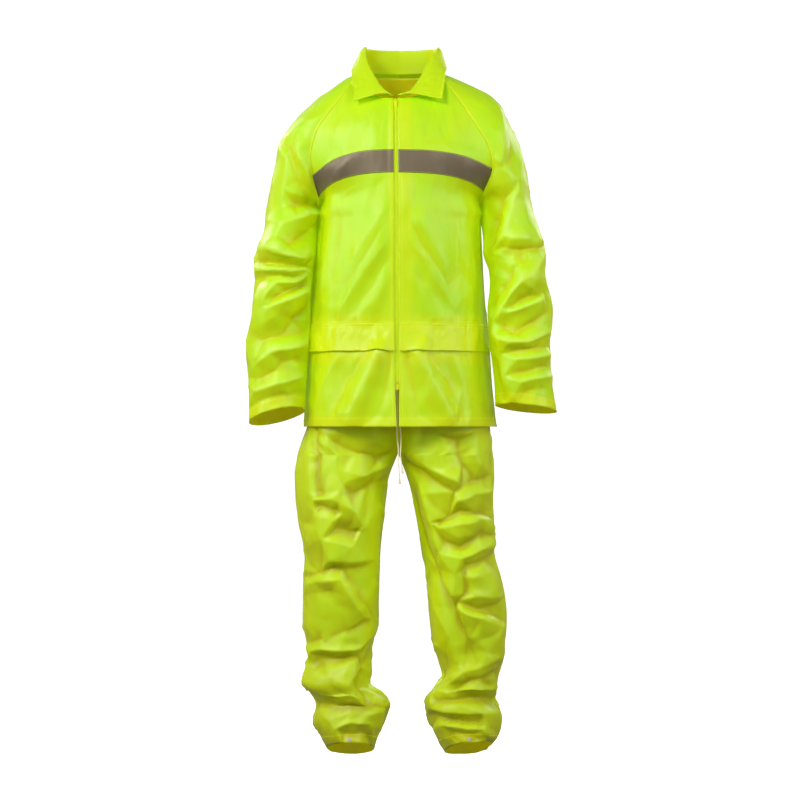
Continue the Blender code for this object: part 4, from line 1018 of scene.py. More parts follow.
BACK_FOLDS = [
    (340, 130, 372, 250, 30, 22, 4.5, 6),
    (462, 130, 430, 250, 22, 30, 4.5, -6),
    (398, 180, 400, 330, 26, 30, 4.5, 5),
    (328, 230, 352, 330, 20, 24, 4.5, 4),
    (474, 220, 450, 330, 24, 20, 4.5, -4),
    (366, 260, 344, 400, 24, 20, -4.0, 4),
    (436, 270, 460, 410, 20, 24, -4.0, -4),
    (350, 300, 450, 320, 18, 20, 4.0, 6),
    (340, 345, 400, 338, 16, 16, -4.0, 0),
    (400, 352, 462, 344, 16, 16, 4.0, 0),
    (372, 340, 360, 420, 24, 20, 5.0, 4),
    (430, 350, 446, 420, 20, 24, 5.0, -4),
    (402, 350, 400, 420, 18, 20, -4.0, 0),
    (330, 350, 322, 416, 16, 18, 4.0, 0),
    (476, 350, 482, 418, 18, 16, 4.0, 0),
    (370, 90, 384, 150, 16, 20, -3.0, 0),
    (432, 92, 416, 150, 20, 16, -3.0, 0),
]
LEG_BACK_RIGHT_FOLDS = [
    (330, 450, 386, 474, 20, 22, 5.0, 5),
    (350, 430, 340, 520, 24, 22, 4.5, 3),
    (386, 478, 330, 500, 18, 16, -4.5, 3),
    (320, 500, 332, 580, 20, 20, 4.0, 3),
    (374, 500, 362, 580, 18, 20, 4.5, 3),
    (312, 590, 376, 578, 16, 18, -5.0, -4),
    (310, 610, 372, 604, 20, 14, 6.0, -4),
    (316, 632, 368, 640, 14, 16, -5.5, 4),
    (316, 655, 366, 652, 18, 14, 6.0, 4),
    (318, 676, 372, 672, 12, 12, -6.5, 4),
    (316, 694, 380, 690, 18, 12, 6.5, -4),
    (322, 712, 380, 714, 12, 12, -6.0, 4),
    (326, 728, 374, 726, 14, 12, 5.0, 3),
    (340, 548, 366, 540, 18, 14, 3.5, 0),
]
LEG_BACK_LEFT_FOLDS = [
    (414, 474, 470, 450, 20, 22, 5.0, -5),
    (450, 430, 462, 520, 22, 24, 4.5, -3),
    (414, 480, 474, 500, 18, 16, -4.5, 3),
    (482, 500, 470, 580, 20, 20, 4.0, 3),
    (426, 500, 440, 580, 18, 20, 4.5, 3),
    (434, 590, 498, 600, 16, 18, -5.0, 4),
    (436, 616, 500, 612, 20, 14, 6.0, 4),
    (440, 640, 500, 646, 14, 16, -5.5, 4),
    (440, 662, 496, 658, 18, 14, 6.0, -4),
    (444, 682, 494, 678, 12, 12, -6.5, 4),
    (434, 700, 496, 696, 18, 12, 6.5, -4),
    (436, 716, 496, 718, 12, 12, -6.0, 4),
    (446, 732, 492, 730, 14, 12, 5.0, 3),
    (446, 556, 478, 546, 18, 14, 3.5, 0),
]
SLEEVE_BACK_RIGHT_FOLDS = [
    (300, 120, 288, 190, 20, 20, 4.5, 3),
    (276, 200, 318, 216, 14, 20, 5.0, 4),
    (268, 240, 312, 234, 12, 16, -5.0, 4),
    (262, 256, 310, 262, 20, 16, 6.0, 4),
    (260, 280, 306, 274, 10, 12, -5.5, 4),
    (262, 300, 304, 292, 20, 14, 5.0, 0),
    (258, 324, 302, 336, 14, 14, -4.5, 4),
    (262, 360, 300, 350, 18, 14, 4.0, 4),
    (266, 390, 294, 382, 12, 12, -3.5, 0),
]
SLEEVE_BACK_LEFT_FOLDS = [
    (500, 120, 512, 190, 20, 20, 4.5, -3),
    (484, 214, 526, 200, 14, 20, 5.0, 4),
    (490, 234, 536, 240, 12, 16, -5.0, 4),
    (494, 262, 540, 256, 20, 16, 6.0, 4),
    (496, 276, 542, 282, 10, 12, -5.5, 4),
    (500, 296, 544, 304, 20, 14, 5.0, 0),
    (502, 336, 546, 326, 14, 14, -4.5, 4),
    (506, 352, 544, 362, 18, 14, 4.0, 4),
    (514, 382, 542, 392, 12, 12, -3.5, 0),
]

# Plain facets. Each line follows a ridge or a hollow on the drafting grid, x y h with h + out in mm, and the cloth is
# flat between neighbouring lines.
LEG_RIGHT_PLANES = [
    [(310, 434, 3), (311, 462, 5), (313, 493, 4)],
    [(317, 432, -4), (318, 462, -7), (318, 492, -4)],
    [(326, 435, 2), (336, 468, 6), (341, 491, 9)],
    [(315, 499, 6), (328, 500, 8), (338, 501, 9)],
    [(317, 506, -4), (328, 508, -3), (338, 509, -3)],
    [(317, 514, 3), (324, 538, 8), (332, 561, 10)],
    [(303, 576, -3), (320, 572, -5), (333, 568, -6), (342, 569, -4)],
    [(342, 494, 7), (352, 511, 6), (360, 525, 8), (352, 546, 7), (344, 563, 7)],
    [(343, 513, 4), (335, 520, 5)],
    [(337, 528, -5), (348, 530, -6), (357, 530, -3)],
    [(350, 433, 4), (372, 442, 5), (392, 447, 3)],
    [(334, 442, -2), (356, 452, -5), (380, 460, -6)],
    [(342, 484, 5), (362, 475, 7), (386, 464, 3)],
    [(350, 494, -4), (370, 486, -5), (388, 476, -3)],
    [(384, 500, 3), (374, 560, 5)],
    [(308, 583, 2), (326, 582, 4), (341, 579, 3), (352, 601, 1), (364, 617, 1)],
    [(311, 592, -3), (328, 591, -4), (342, 594, -2)],
    [(374, 576, 2), (360, 592, -5)],
    [(320, 640, -5), (346, 630, -6), (374, 618, -3)],
    [(323, 650, 9), (340, 650, 10), (357, 650, 8), (368, 638, 5)],
    [(320, 657, -7), (338, 658, -9), (360, 657, -5)],
    [(314, 652, 7), (309, 666, 6), (305, 680, 5)],
    [(354, 662, 3), (352, 678, 8), (350, 697, 8)],
    [(361, 666, -4), (359, 690, -3)],
    [(332, 668, -3), (330, 678, -2)],
    [(308, 685, 4), (324, 692, 8), (341, 698, 9)],
    [(368, 676, 5), (380, 690, 6), (388, 699, 4)],
    [(318, 704, -4), (334, 706, -7), (352, 706, -10), (372, 706, -9), (387, 708, -3)],
    [(321, 711, 4), (330, 720, 6), (337, 728, 9), (352, 722, 7), (368, 723, 7)],
    [(344, 734, -5), (364, 732, -5)],
    [(350, 713, -3), (372, 714, 3)],
]
LEG_LEFT_PLANES = [
    [(406, 452, 4), (430, 467, 7), (456, 482, 6)],
    [(406, 461, -5), (430, 477, -7), (454, 492, -5)],
    [(436, 434, 4), (446, 452, 5), (452, 470, 3)],
    [(456, 440, -4), (462, 462, -4)],
    [(474, 434, 4), (478, 466, 5)],
    [(462, 485, -5), (476, 480, -6), (491, 474, -3)],
    [(458, 500, 6), (474, 494, 7), (491, 491, 4)],
    [(438, 523, -6), (448, 517, -7), (459, 512, -8), (480, 514, -5)],
    [(441, 528, 4), (460, 525, 7), (479, 519, 5)],
    [(459, 538, 5)],
    [(444, 541, -4), (460, 547, -6), (480, 534, -4)],
    [(462, 558, 7), (480, 549, 8), (494, 541, 3)],
    [(466, 566, -5), (486, 558, -4)],
    [(411, 472, -3), (416, 505, -6), (424, 544, -8), (434, 568, -8), (453, 608, -9), (469, 640, -7)],
    [(424, 494, 6), (433, 522, 7), (441, 552, 7), (455, 574, 8), (452, 596, 7)],
    [(424, 584, 3), (436, 606, 4), (450, 636, 6)],
    [(464, 576, -2), (466, 592, -6)],
    [(471, 578, 5), (473, 597, 7)],
    [(457, 602, -6), (478, 609, -7), (502, 619, -3)],
    [(462, 611, 7), (480, 618, 7), (501, 628, 4)],
    [(478, 640, 1), (486, 654, 7), (493, 662, 8), (478, 669, 7), (464, 672, 9), (451, 685, 7)],
    [(496, 671, -3), (480, 678, -5), (467, 682, -6), (458, 689, -3)],
    [(446, 666, -3), (444, 676, -3)],
    [(441, 681, 5), (434, 694, 5)],
    [(446, 694, 5), (470, 687, 9), (493, 689, 6)],
    [(436, 702, -3), (450, 700, -7), (472, 697, -10), (495, 698, -7)],
    [(432, 707, 4), (452, 711, 7), (482, 713, 7), (496, 711, 4)],
    [(436, 715, -5), (455, 720, -7), (480, 722, -5)],
    [(442, 724, 5), (462, 727, 6), (484, 729, 4)],
    [(452, 733, -4), (472, 734, -4)],
]
SLEEVE_RIGHT_PLANES = [
    [(300, 130, 3), (300, 150, 6), (308, 176, 5), (317, 197, 2)],
    [(290, 150, -3), (296, 180, -5), (306, 198, -4)],
    [(281, 144, 4), (288, 160, 3), (284, 190, 3)],
    [(296, 204, -6), (308, 205, -8), (320, 206, -5)],
    [(287, 206, 3), (283, 225, 7)],
    [(283, 225, 7), (296, 219, 8), (308, 214, 8), (320, 211, 6)],
    [(282, 228, 6), (276, 238, 7), (270, 249, 9)],
    [(290, 244, -5), (302, 236, -7), (312, 226, -4)],
    [(270, 250, 9), (284, 255, 8), (300, 258, 6)],
    [(257, 262, -5), (270, 263, -8), (288, 264, -10), (305, 265, -8)],
    [(259, 269, 5), (280, 270, 7), (304, 270, 7)],
    [(264, 277, -4), (276, 276, -5), (292, 277, -3)],
    [(303, 276, 6), (296, 281, 6), (276, 284, 8), (266, 300, 9)],
    [(300, 286, -5), (286, 292, -6), (275, 299, -4)],
    [(257, 315, 6), (268, 309, 8), (284, 300, 8), (305, 290, 7)],
    [(262, 341, -5), (284, 336, -8), (296, 318, -9), (305, 309, -9)],
    [(284, 336, -8), (304, 331, -7)],
    [(255, 366, 3), (270, 354, 6), (282, 350, 8), (302, 344, 5)],
    [(282, 362, -5), (296, 358, -4)],
    [(262, 378, -3), (274, 372, -4)],
    [(256, 392, 4), (276, 384, 5), (300, 376, 4)],
    [(260, 400, -3), (282, 394, -4), (302, 392, -3)],
]
SLEEVE_LEFT_PLANES = [
    [(499, 110, 3), (502, 136, 6), (499, 168, 3)],
    [(509, 126, -3), (510, 160, -4)],
    [(519, 150, 3), (524, 190, 3)],
    [(517, 180, 5), (511, 210, 8), (505, 237, 6)],
    [(503, 204, -6), (496, 224, -9), (488, 250, -6)],
    [(508, 240, 5), (522, 240, 7), (541, 242, 4)],
    [(506, 247, -6), (522, 250, -8), (541, 249, -4)],
    [(541, 256, 5), (534, 268, 8), (522, 283, 9), (503, 307, 7)],
    [(520, 262, -5), (508, 282, -6), (497, 300, -4)],
    [(541, 283, 4), (530, 289, 6)],
    [(544, 293, -3), (530, 297, -5), (518, 303, -4)],
    [(505, 312, 7), (520, 308, 8), (540, 300, 7)],
    [(549, 311, -4), (530, 323, -8), (513, 333, -7)],
    [(496, 320, 5), (499, 338, 8), (514, 341, 8), (529, 343, 6), (548, 332, 4)],
    [(504, 327, -4)],
    [(518, 351, -5), (534, 350, -5), (549, 346, -3)],
    [(518, 360, 5), (534, 358, 4), (549, 354, 4)],
    [(521, 371, -5), (536, 367, -4), (550, 366, -3)],
    [(522, 381, 5), (538, 377, 4), (551, 376, 3)],
    [(524, 391, -4), (540, 388, -4)],
    [(502, 354, 3), (507, 376, 6), (514, 396, 4)],
    [(498, 372, -3), (503, 396, -3)],
]
FRONT_RIGHT_PLANES = [
    [(343, 112, 2), (336, 132, 3), (331, 150, 2)],
    [(356, 110, -2), (348, 146, -2)],
    [(372, 108, 2), (366, 146, 2)],
    [(334, 176, 4), (332, 204, 6), (331, 232, 6), (325, 266, 5), (319, 300, 4)],
    [(324, 206, -3), (319, 250, -5), (314, 296, -3)],
    [(341, 200, -2), (340, 240, -3), (331, 284, -3)],
    [(388, 204, 2), (370, 230, 4), (350, 262, 3)],
    [(386, 222, -2), (366, 252, -3), (346, 284, -3)],
    [(384, 242, 3), (362, 276, 5), (338, 312, 3)],
    [(386, 262, -2), (372, 286, -3), (354, 312, -2)],
    [(386, 284, 2), (374, 304, 3)],
    [(392, 358, -4), (386, 388, -5), (378, 414, -4)],
    [(378, 354, 7), (364, 386, 9), (350, 414, 6)],
    [(362, 356, -5), (346, 384, -7), (332, 412, -4)],
    [(338, 356, 4), (326, 380, 5), (316, 410, 2)],
    [(326, 358, -3), (314, 388, -3)],
]
FRONT_LEFT_PLANES = [
    [(450, 110, 2), (458, 132, 3), (464, 150, 2)],
    [(436, 110, -2), (446, 146, -2)],
    [(418, 110, 2), (426, 146, 2)],
    [(408, 200, 2), (424, 228, 4), (444, 262, 3)],
    [(410, 222, -2), (428, 252, -3), (448, 284, -3)],
    [(412, 240, 3), (432, 274, 5), (454, 308, 3)],
    [(412, 264, -2), (424, 290, -3), (436, 312, -2)],
    [(446, 190, -2), (456, 226, -3), (466, 270, -3)],
    [(458, 192, 3), (468, 226, 5), (476, 280, 4), (478, 312, 3)],
    [(408, 358, -4), (414, 388, -5), (420, 414, -4)],
    [(418, 354, 7), (434, 384, 9), (450, 414, 5)],
    [(430, 356, -5), (450, 384, -7), (464, 412, -4)],
    [(452, 356, 3), (464, 386, 5), (472, 412, 3)],
    [(468, 358, -3), (478, 392, -3)],
]

BACK_PLANES = [
    [(352, 112, 2), (343, 168, 4), (338, 228, 3)],
    [(370, 124, -2), (367, 196, -3), (356, 258, -2)],
    [(396, 112, 2), (402, 190, 3), (394, 288, 4), (400, 318, 2)],
    [(424, 130, -2), (434, 206, -3), (430, 282, -3)],
    [(448, 118, 3), (460, 184, 4), (455, 246, 3), (466, 306, 2)],
    [(381, 214, 2), (372, 268, 4), (352, 318, 3)],
    [(414, 226, 2), (419, 276, 3), (412, 316, 2)],
    [(341, 256, -3), (331, 310, -2)],
    [(476, 206, -3), (472, 296, -3)],
    [(343, 344, 3), (335, 382, 5), (331, 414, 3)],
    [(361, 341, -3), (356, 380, -4), (352, 414, -2)],
    [(379, 343, 4), (385, 386, 6), (377, 416, 4)],
    [(405, 341, -3), (401, 388, -4), (409, 414, -2)],
    [(429, 345, 4), (423, 382, 5), (433, 414, 3)],
    [(449, 342, -2), (453, 388, -4), (447, 414, -3)],
    [(470, 345, 3), (477, 386, 5), (472, 414, 3)],
]


def mirrored(lines):
    """The same facets for a hidden side, left and right exchanged."""
    return [[(800 - x, y, h) for x, y, h in line] for line in lines]


CALM_SEAM = 10.0  # mm over which folds run out beside a sewn edge


def grid_rows(surface, low, high, count, u=0.5):
    return even(surface, low, high, count, u)


def field(rows, cols):
    return np.meshgrid(np.asarray(rows, float), np.linspace(0, 1, cols), indexing="ij")


def fade(distance, width):
    return smooth(distance / width)


def finish(cloth, seed, large=(2.0, 40, 80), small=(0.9, 17, 28), edge_left=True, edge_right=True, top=True):
    """Plain facets, large and small: their height, and their size across and down, mm. Calm edges."""
    s, t = cloth.s, cloth.t
    ws, wt = cloth.ws + 7 * noise(s / 32, t / 32, seed + 5), cloth.wt + 7 * noise(s / 32, t / 32, seed + 6)
    cloth.d += 0.5 * noise(s / 34 + 7, t / 46, seed)
    cloth.d += large[0] * facets(ws / large[1] + 3, wt / large[2], seed + 2) * (0.75 + 0.5 * noise(s / 90, t / 90, seed + 7))
    cloth.d += small[0] * facets(ws / small[1], wt / small[2], seed + 3) * (0.6 + 0.8 * noise(s / 70, t / 70, seed + 8))
    span = cloth.s.max(axis=1, keepdims=True)
    first = cloth.s.min(axis=1, keepdims=True)
    if edge_left:
        cloth.calm *= 0.06 + 0.94 * fade(cloth.s - first, CALM_SEAM)
    if edge_right:
        cloth.calm *= 0.06 + 0.94 * fade(span - cloth.s, CALM_SEAM)
    if top:
        cloth.calm *= 0.15 + 0.85 * fade(cloth.t - cloth.t.min(), 2 * CALM_SEAM)
    return cloth


def hem(cloth, depth, rise=0.5):
    """A turned and stitched hem at the foot: a step out with a groove along the stitching."""
    foot = cloth.t[-1:, :] - cloth.t
    cloth.double = 0.75 * (1 - fade(foot - depth, 1.6)) + 0 * cloth.d
    cloth.hem = rise * (1 - fade(foot - depth, 1.6)) - 0.55 * np.exp(-(((foot - depth + 1.5) / 1.5) ** 2))
    return cloth


PIECES = {}

for side, table in SLEEVE_TABLES.items():
    surf = lambda r, u, table=table: folds(sleeve(table, r, u), JACKET_FOLDS)
    rows = np.concatenate([grid_rows(surf, 0, UNDERARM, 84), grid_rows(surf, UNDERARM, 17, 122)[1:]])
    r, u = field(rows, 120)
    g = surf(r, u)
    wrap = 83
    g[wrap:, -1] = g[wrap:, 0]
    middle = np.stack([np.interp(rows, range(18), [(q[0] + q[2]) / 2 for q in table]), np.interp(rows, range(18), [q[4] for q in table]), np.interp(rows, range(18), [(q[1] + q[3]) / 2 - (30 if k < 7 else 0) for k, q in enumerate(table)])], -1)
    c = Cloth(f"sleeve_{side}", g, g - middle[:, None], True, 60)
    if side == "right":
        c.s, c.ws = -c.s, -c.ws
    c.planes(SLEEVE_RIGHT_PLANES if side == "right" else SLEEVE_LEFT_PLANES, 1.3)
    c.fold = 0.3
    c.strokes(SLEEVE_RIGHT_FOLDS if side == "right" else SLEEVE_LEFT_FOLDS, 1)
    c.planes(mirrored(SLEEVE_LEFT_PLANES if side == "right" else SLEEVE_RIGHT_PLANES), 1.0, -1)
    c.fold = 0.6
    c.strokes(SLEEVE_BACK_RIGHT_FOLDS if side == "right" else SLEEVE_BACK_LEFT_FOLDS, -1)
    half = np.abs(c.s).max()
    c.fold = 1.0
    top_t, foot_t = c.t.min(), c.t.max()
    elbow = c.place(281 if side == "right" else 520, 268)[1]
    c.scatter(11 if side == "right" else 12, 34, (-half, half, elbow - 90, elbow + 110), 8, 24, (40, 110), (6, 16), (1.0, 3.2))
    c.scatter(13 if side == "right" else 14, 44, (-half, half, elbow + 90, foot_t - 10), 10, 40, (24, 70), (4, 10), (0.6, 2.2))
    c.scatter(15 if side == "right" else 16, 16, (-half, half, top_t + 60, elbow - 80), 74, 18, (60, 150), (8, 20), (0.6, 2.0))
    finish(c, 31 if side == "right" else 32, (2.2, 44, 60), (1.0, 18, 22))
    inner = np.where(r > UNDERARM + 0.2, np.minimum(u, 1 - u), 1)
    c.calm *= 0.35 + 0.65 * fade(inner, 0.1)
    hem(c, 22)
    raglan = (1 - fade(c.s.max(axis=1, keepdims=True) - c.s, 7)) + (1 - fade(c.s - c.s.min(axis=1, keepdims=True), 7))
    c.double = np.maximum(c.double, 0.8 * np.clip(raglan, 0, 1) * (r < UNDERARM))
    # below the underarm the sleeve rests against the body
    c.press_in = (8.5 if side == "right" else 5.5) * (1 - fade(inner, 0.16)) * smooth((r - 7.05) / 0.9) * (1 - 0.5 * smooth((r - 14) / 3))
    PIECES[c.name] = c
    c.rows, c.wrap = rows, wrap

for side, table in SLEEVE_TABLES.items():
    surf = lambda r, u, table=table: folds(half_body(table, r, u, False), JACKET_FOLDS)
    rows = np.sort(np.concatenate([grid_rows(surf, 0, 18, 232, 0.8), [5, 6, 13, 14]]))
    r, u = field(rows, 96)
    g = surf(r, u)
    axis = np.stack([0 * rows, 0 * rows, np.interp(rows, range(19), [b[1] for b in BODY])], -1)
    c = Cloth(f"jacket_front_{side}", g, g - axis[:, None], False, 95)
    if side == "left":
        c.s, c.ws = -c.s, -c.ws
    c.planes(FRONT_RIGHT_PLANES if side == "right" else FRONT_LEFT_PLANES, 0.65)
    c.fold = 0.25
    c.strokes(FRONT_RIGHT_FOLDS if side == "right" else FRONT_LEFT_FOLDS, 1)
    far = -np.abs(c.s).max() if side == "right" else 10
    near = -10 if side == "right" else np.abs(c.s).max()
    lean = 105 if side == "right" else 75
    c.fold = 1.0
    c.scatter(21 if side == "right" else 22, 18, (far, near, 120, 470), lean, 12, (80, 200), (8, 22), (0.5, 1.7))
    c.scatter(221 if side == "right" else 222, 60, (far, near, 30, 480), lean, 18, (30, 90), (2.5, 5), (0.15, 0.5))
    c.scatter(23 if side == "right" else 24, 20, (far, near, 510, 700), lean, 14, (50, 130), (8, 20), (0.8, 2.6))
    c.scatter(25 if side == "right" else 26, 12, (far, near, 20, 150), lean, 20, (40, 100), (8, 16), (0.4, 1.4))
    c.scatter(27 if side == "right" else 28, 44, (far, near, 476, 520), 90, 12, (16, 44), (3.5, 7), (0.5, 1.5))
    finish(c, 41 if side == "right" else 42, (1.5, 38, 130), (0.5, 13, 50))
    c.calm *= fade(np.abs(c.s), 16) * 0.95 + 0.05
    near_side = np.where(r > UNDERARM, u, 1)
    c.calm *= 0.3 + 0.7 * fade(near_side, 0.08)
    c.fold = 1.0
    c.scatter(225 if side == "right" else 226, 34, (far, near, c.t.max() - 16, c.t.max()), 90, 14, (14, 34), (3, 6), (0.5, 1.6))
    hem(c, 18)
    face_width = 9 if side == "right" else 27
    facing = (1 - fade(np.abs(c.s) - face_width, 1.2)) * (r > 0.6)
    c.double = np.maximum(c.double, 0.45 * facing)
    c.double = np.maximum(c.double, 0.5 * (1 - fade(np.abs(r - 13.5) - 0.7, 0.3)) + 0.22 * (r > 14))
    side_fold = -c.s if side == "right" else c.s
    # painted shade along the outer side of each front, from the chest down, stronger on the wearer's left
    c.shade = (0.5 if side == "right" else 1.0) * fade(side_fold - (side_fold.max(axis=1, keepdims=True) - (16 if side == "right" else 30)), 9) * smooth((r - 8.5) / 3.5)
    c.hem = c.hem + 0.35 * facing
    PIECES[c.name] = c
    c.rows = rows

r_rows = grid_rows(lambda r, u: half_body(SLEEVE_RIGHT, r, u, True), 0, 18, 168, 1.0)
r, u = field(r_rows, 61)
halves = [folds(half_body(t, r, u, True), JACKET_FOLDS) for t in (SLEEVE_RIGHT, SLEEVE_LEFT)]
g = np.concatenate([halves[0], halves[1][:, -2::-1]], axis=1)
axis = np.stack([0 * r_rows, 0 * r_rows, np.interp(r_rows, range(19), [b[1] for b in BODY])], -1)
c = Cloth("jacket_back", g, g - axis[:, None], False, 60)
c.planes(BACK_PLANES, 1.1, -1)
c.fold = 0.7
c.strokes(BACK_FOLDS, -1)
c.scatter(51, 46, (-200, 200, 100, 480), 90, 24, (60, 170), (7, 20), (0.6, 2.2))
c.scatter(52, 34, (-200, 200, 480, 700), 90, 20, (50, 130), (7, 18), (0.6, 2.2))
finish(c, 53, (2.0, 40, 110), (0.8, 16, 40))
hem(c, 18)
c.rows = r_rows
PIECES[c.name] = c

for side, table in LEG_TABLES.items():
    for back in (False, True):
        surf = lambda r, u, table=table, back=back: folds(leg(table, r, u, back), TROUSER_FOLDS)
        rows = grid_rows(surf, 0, 22, 270 if not back else 200, 0.5)
        r, u = field(rows, 86 if not back else 60)
        g = surf(r, u)
        axis = np.stack([np.interp(rows, range(23), [q[2] for q in table]), np.interp(rows, range(23), [q[4] for q in table]), np.interp(rows, range(23), [q[0] for q in table])], -1)
        name = f"trouser_{'back' if back else 'front'}_{side}"
        c = Cloth(name, g, g - axis[:, None], False, g.shape[1] // 2)
        if side == "right":
            c.s, c.ws = -c.s, -c.ws
        c.fold = 1.7 if back else 0.3
        if back:
            c.planes(mirrored(LEG_LEFT_PLANES if side == "right" else LEG_RIGHT_PLANES), 1.0, -1)
            c.fold = 0.5
        else:
            c.planes(LEG_RIGHT_PLANES if side == "right" else LEG_LEFT_PLANES, 1.2)
        if back:
            c.strokes(LEG_BACK_RIGHT_FOLDS if side == "right" else LEG_BACK_LEFT_FOLDS, -1)
        else:
            c.strokes(LEG_RIGHT_FOLDS if side == "right" else LEG_LEFT_FOLDS, 1)
        w = np.abs(c.s).max()
        seed = 61 + (side == "left") * 10 + back * 5
        foot_t = c.t.max()
        c.fold = 1.0
        c.scatter(seed, 30, (-w, w, 60, 480), 82, 26, (60, 180), (8, 22), (0.8, 2.8))
        c.scatter(seed + 1, 28, (-w, w, 400, 680), 30, 34, (50, 130), (7, 16), (0.8, 2.8))
        c.scatter(seed + 2, 40, (-w, w, foot_t - 260, foot_t - 15), 2, 18, (40, 120), (5, 12), (1.0, 3.4))
        finish(c, seed + 3, (2.3, 42, 84), (0.9, 18, 26))
        hem(c, 20)
        # painted shade: darker and yellower towards each leg's foot, and on the fronts a painted shadow of the jacket's
        # hem across the top
        c.shade = 0.1 * smooth(c.t / 300) + 0.3 * smooth((c.t - 520) / 380) + 0.75 * (1 - smooth((-702 - c.grid[..., 2]) / 25)) * (not back)
        PIECES[name] = c
        c.rows = rows

# collar
t_at = np.concatenate([np.linspace(0, 1, 124)])
v_at = np.concatenate([np.linspace(0, 0.4, 18)[:-1], np.linspace(0.4, 1, 40)])
tt, vv = np.meshgrid(t_at, v_at, indexing="ij")
g = np.concatenate([collar(COLLAR_RIGHT, tt, vv), collar(COLLAR_LEFT, tt, vv)[-2::-1]])
c = Cloth("collar", g, np.concatenate([0 * tt[..., None] + [0, 0, 1.0], (0 * tt[..., None] + [0, 0, 1.0])[-2::-1]]), False, 17)
PIECES["collar"] = c
c.double = 0.35
vfull = np.concatenate([vv, vv[-2::-1]])
tfull = np.concatenate([tt, 2 - tt[-2::-1]])
c.d += (1.5 * facets(tfull * 9, vfull * 3.2, 71) + 0.8 * noise(tfull * 22, vfull * 4, 71) + 0.45 * noise(tfull * 60, vfull * 8, 72)) * smooth((vfull - 0.45) / 0.2)
pucker = np.exp(-(((tfull - 0.45) / 0.16) ** 2)) + 0.5 * np.exp(-(((tfull - 1.55) / 0.14) ** 2))
c.d += 1.1 * pucker * np.sin(tfull * 150 + 3 * noise(tfull * 14, vfull * 3, 73)) * np.exp(-(((vfull - 0.56) / 0.12) ** 2))
edge_v = np.abs(1 - vfull) * 75
edge_t = np.minimum(tfull, 2 - tfull) * 260
near_edge = np.minimum(edge_v, edge_t)
c.d += 0.35 * np.exp(-(((near_edge - 2.2) / 2.0) ** 2)) - 0.4 * np.exp(-(((near_edge - 5.5) / 1.0) ** 2))

MATS = lambda n: [LEG_MAT, INSIDE_MAT] if n.startswith("trouser") else [COLLAR_MAT, COLLAR_MAT] if n == "collar" else [CLOTH_MAT, INSIDE_MAT]
SHELLS = {}
for name, c in PIECES.items():
    if hasattr(c, "hem"):
        c.grid = c.grid + c.n * c.hem[..., None]
    if hasattr(c, "press_in"):
        c.grid = c.grid + c.n * c.press_in[..., None]
    ob = shell(name + "_cloth", c, THICK if name != "collar" else 1.6, MATS(name), [name], wrap_from=getattr(c, "wrap", None))
    SHELLS[name] = ob

# ---------------------------------------------------------------- lines and points on the cloth


class Face:
    """The finished outer face of a cloth piece, sampled at fractional rows and columns."""

    def __init__(self, c, extra=0.0):
        self.c = c
        self.p = c.points(extra)
        n = grid_normals(self.p, False)
        if np.einsum("ijk,ijk->", n, c.n) < 0:
            n = -n
        self.n = n

    def _at(self, a, i, j):
        i, j = np.clip(i, 0, a.shape[0] - 1.001), np.clip(j, 0, a.shape[1] - 1.001)
        i0, j0 = i.astype(int), j.astype(int)
        fi, fj = (i - i0), (j - j0)
        if a.ndim == 3:
            fi, fj = fi[:, None], fj[:, None]
        return (a[i0, j0] * (1 - fi) + a[i0 + 1, j0] * fi) * (1 - fj) + (a[i0, j0 + 1] * (1 - fi) + a[i0 + 1, j0 + 1] * fi) * fj

    def at(self, i, j):
        n = self._at(self.n, i, j)
        return self._at(self.p, i, j), n / np.linalg.norm(n, axis=1)[:, None]

    def beside(self, d, edge, low=0.0, high=None):
        """A line d mm in from the first (0) or last (-1) column, between the rows low and high of the table."""
        s = np.abs(self.c.s - self.c.s[:, [edge]])
        rows = np.arange(s.shape[0])
        if edge == 0:
            j = np.array([np.interp(d, s[i], np.arange(s.shape[1])) for i in rows])
        else:
            j = np.array([s.shape[1] - 1 - np.interp(d, s[i][::-1], np.arange(s.shape[1])) for i in rows])
        keep = (self.c.rows >= low) & (self.c.rows <= (high if high is not None else 99))
        return self.at(rows[keep].astype(float), j[keep])

    def above_foot(self, d, j0=0.0, j1=None):
        t = self.c.t[-1] - self.c.t
        cols = np.arange(t.shape[1])
        i = np.array([len(t) - 1 - np.interp(d, t[::-1, j], np.arange(len(t))) for j in cols])
        j1 = len(cols) - 1 if j1 is None else j1
        keep = (cols >= j0) & (cols <= j1)
        return self.at(i[keep], cols[keep].astype(float))

    def row(self, r, offset=0.0):
        """A line offset mm below row r of the table."""
        i0 = np.interp(r, self.c.rows, np.arange(len(self.c.rows)))
        t = self.c.t
        cols = np.arange(t.shape[1])
        i = []
        for j in cols:
            at = np.interp(i0, np.arange(len(t)), t[:, j]) + offset
            i.append(np.interp(at, t[:, j], np.arange(len(t))))
        return self.at(np.array(i), cols.astype(float))


def run_of(p):
    return np.concatenate([[0], np.cumsum(np.linalg.norm(np.diff(p, axis=0), axis=1))])


class Parts:
    """Many small bodies gathered into one mesh."""

    def __init__(self):
        self.v, self.f, self.count = [], [], 0

    def add(self, verts, faces):
        self.v.append(np.asarray(verts, float))
        self.f += [tuple(k + self.count for k in q) for q in faces]
        self.count += len(verts)

    def make(self, name, slot_name, mat, nodes=(), smooth_faces=False):
        ob = mesh_from(name, np.concatenate(self.v), self.f, mat, smooth_faces)
        if nodes:
            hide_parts(*nodes)
        return ob


DASH_FACES = [(0, 1, 3, 2), (4, 6, 7, 5), (0, 4, 5, 1), (2, 3, 7, 6), (0, 2, 6, 4), (1, 5, 7, 3)]


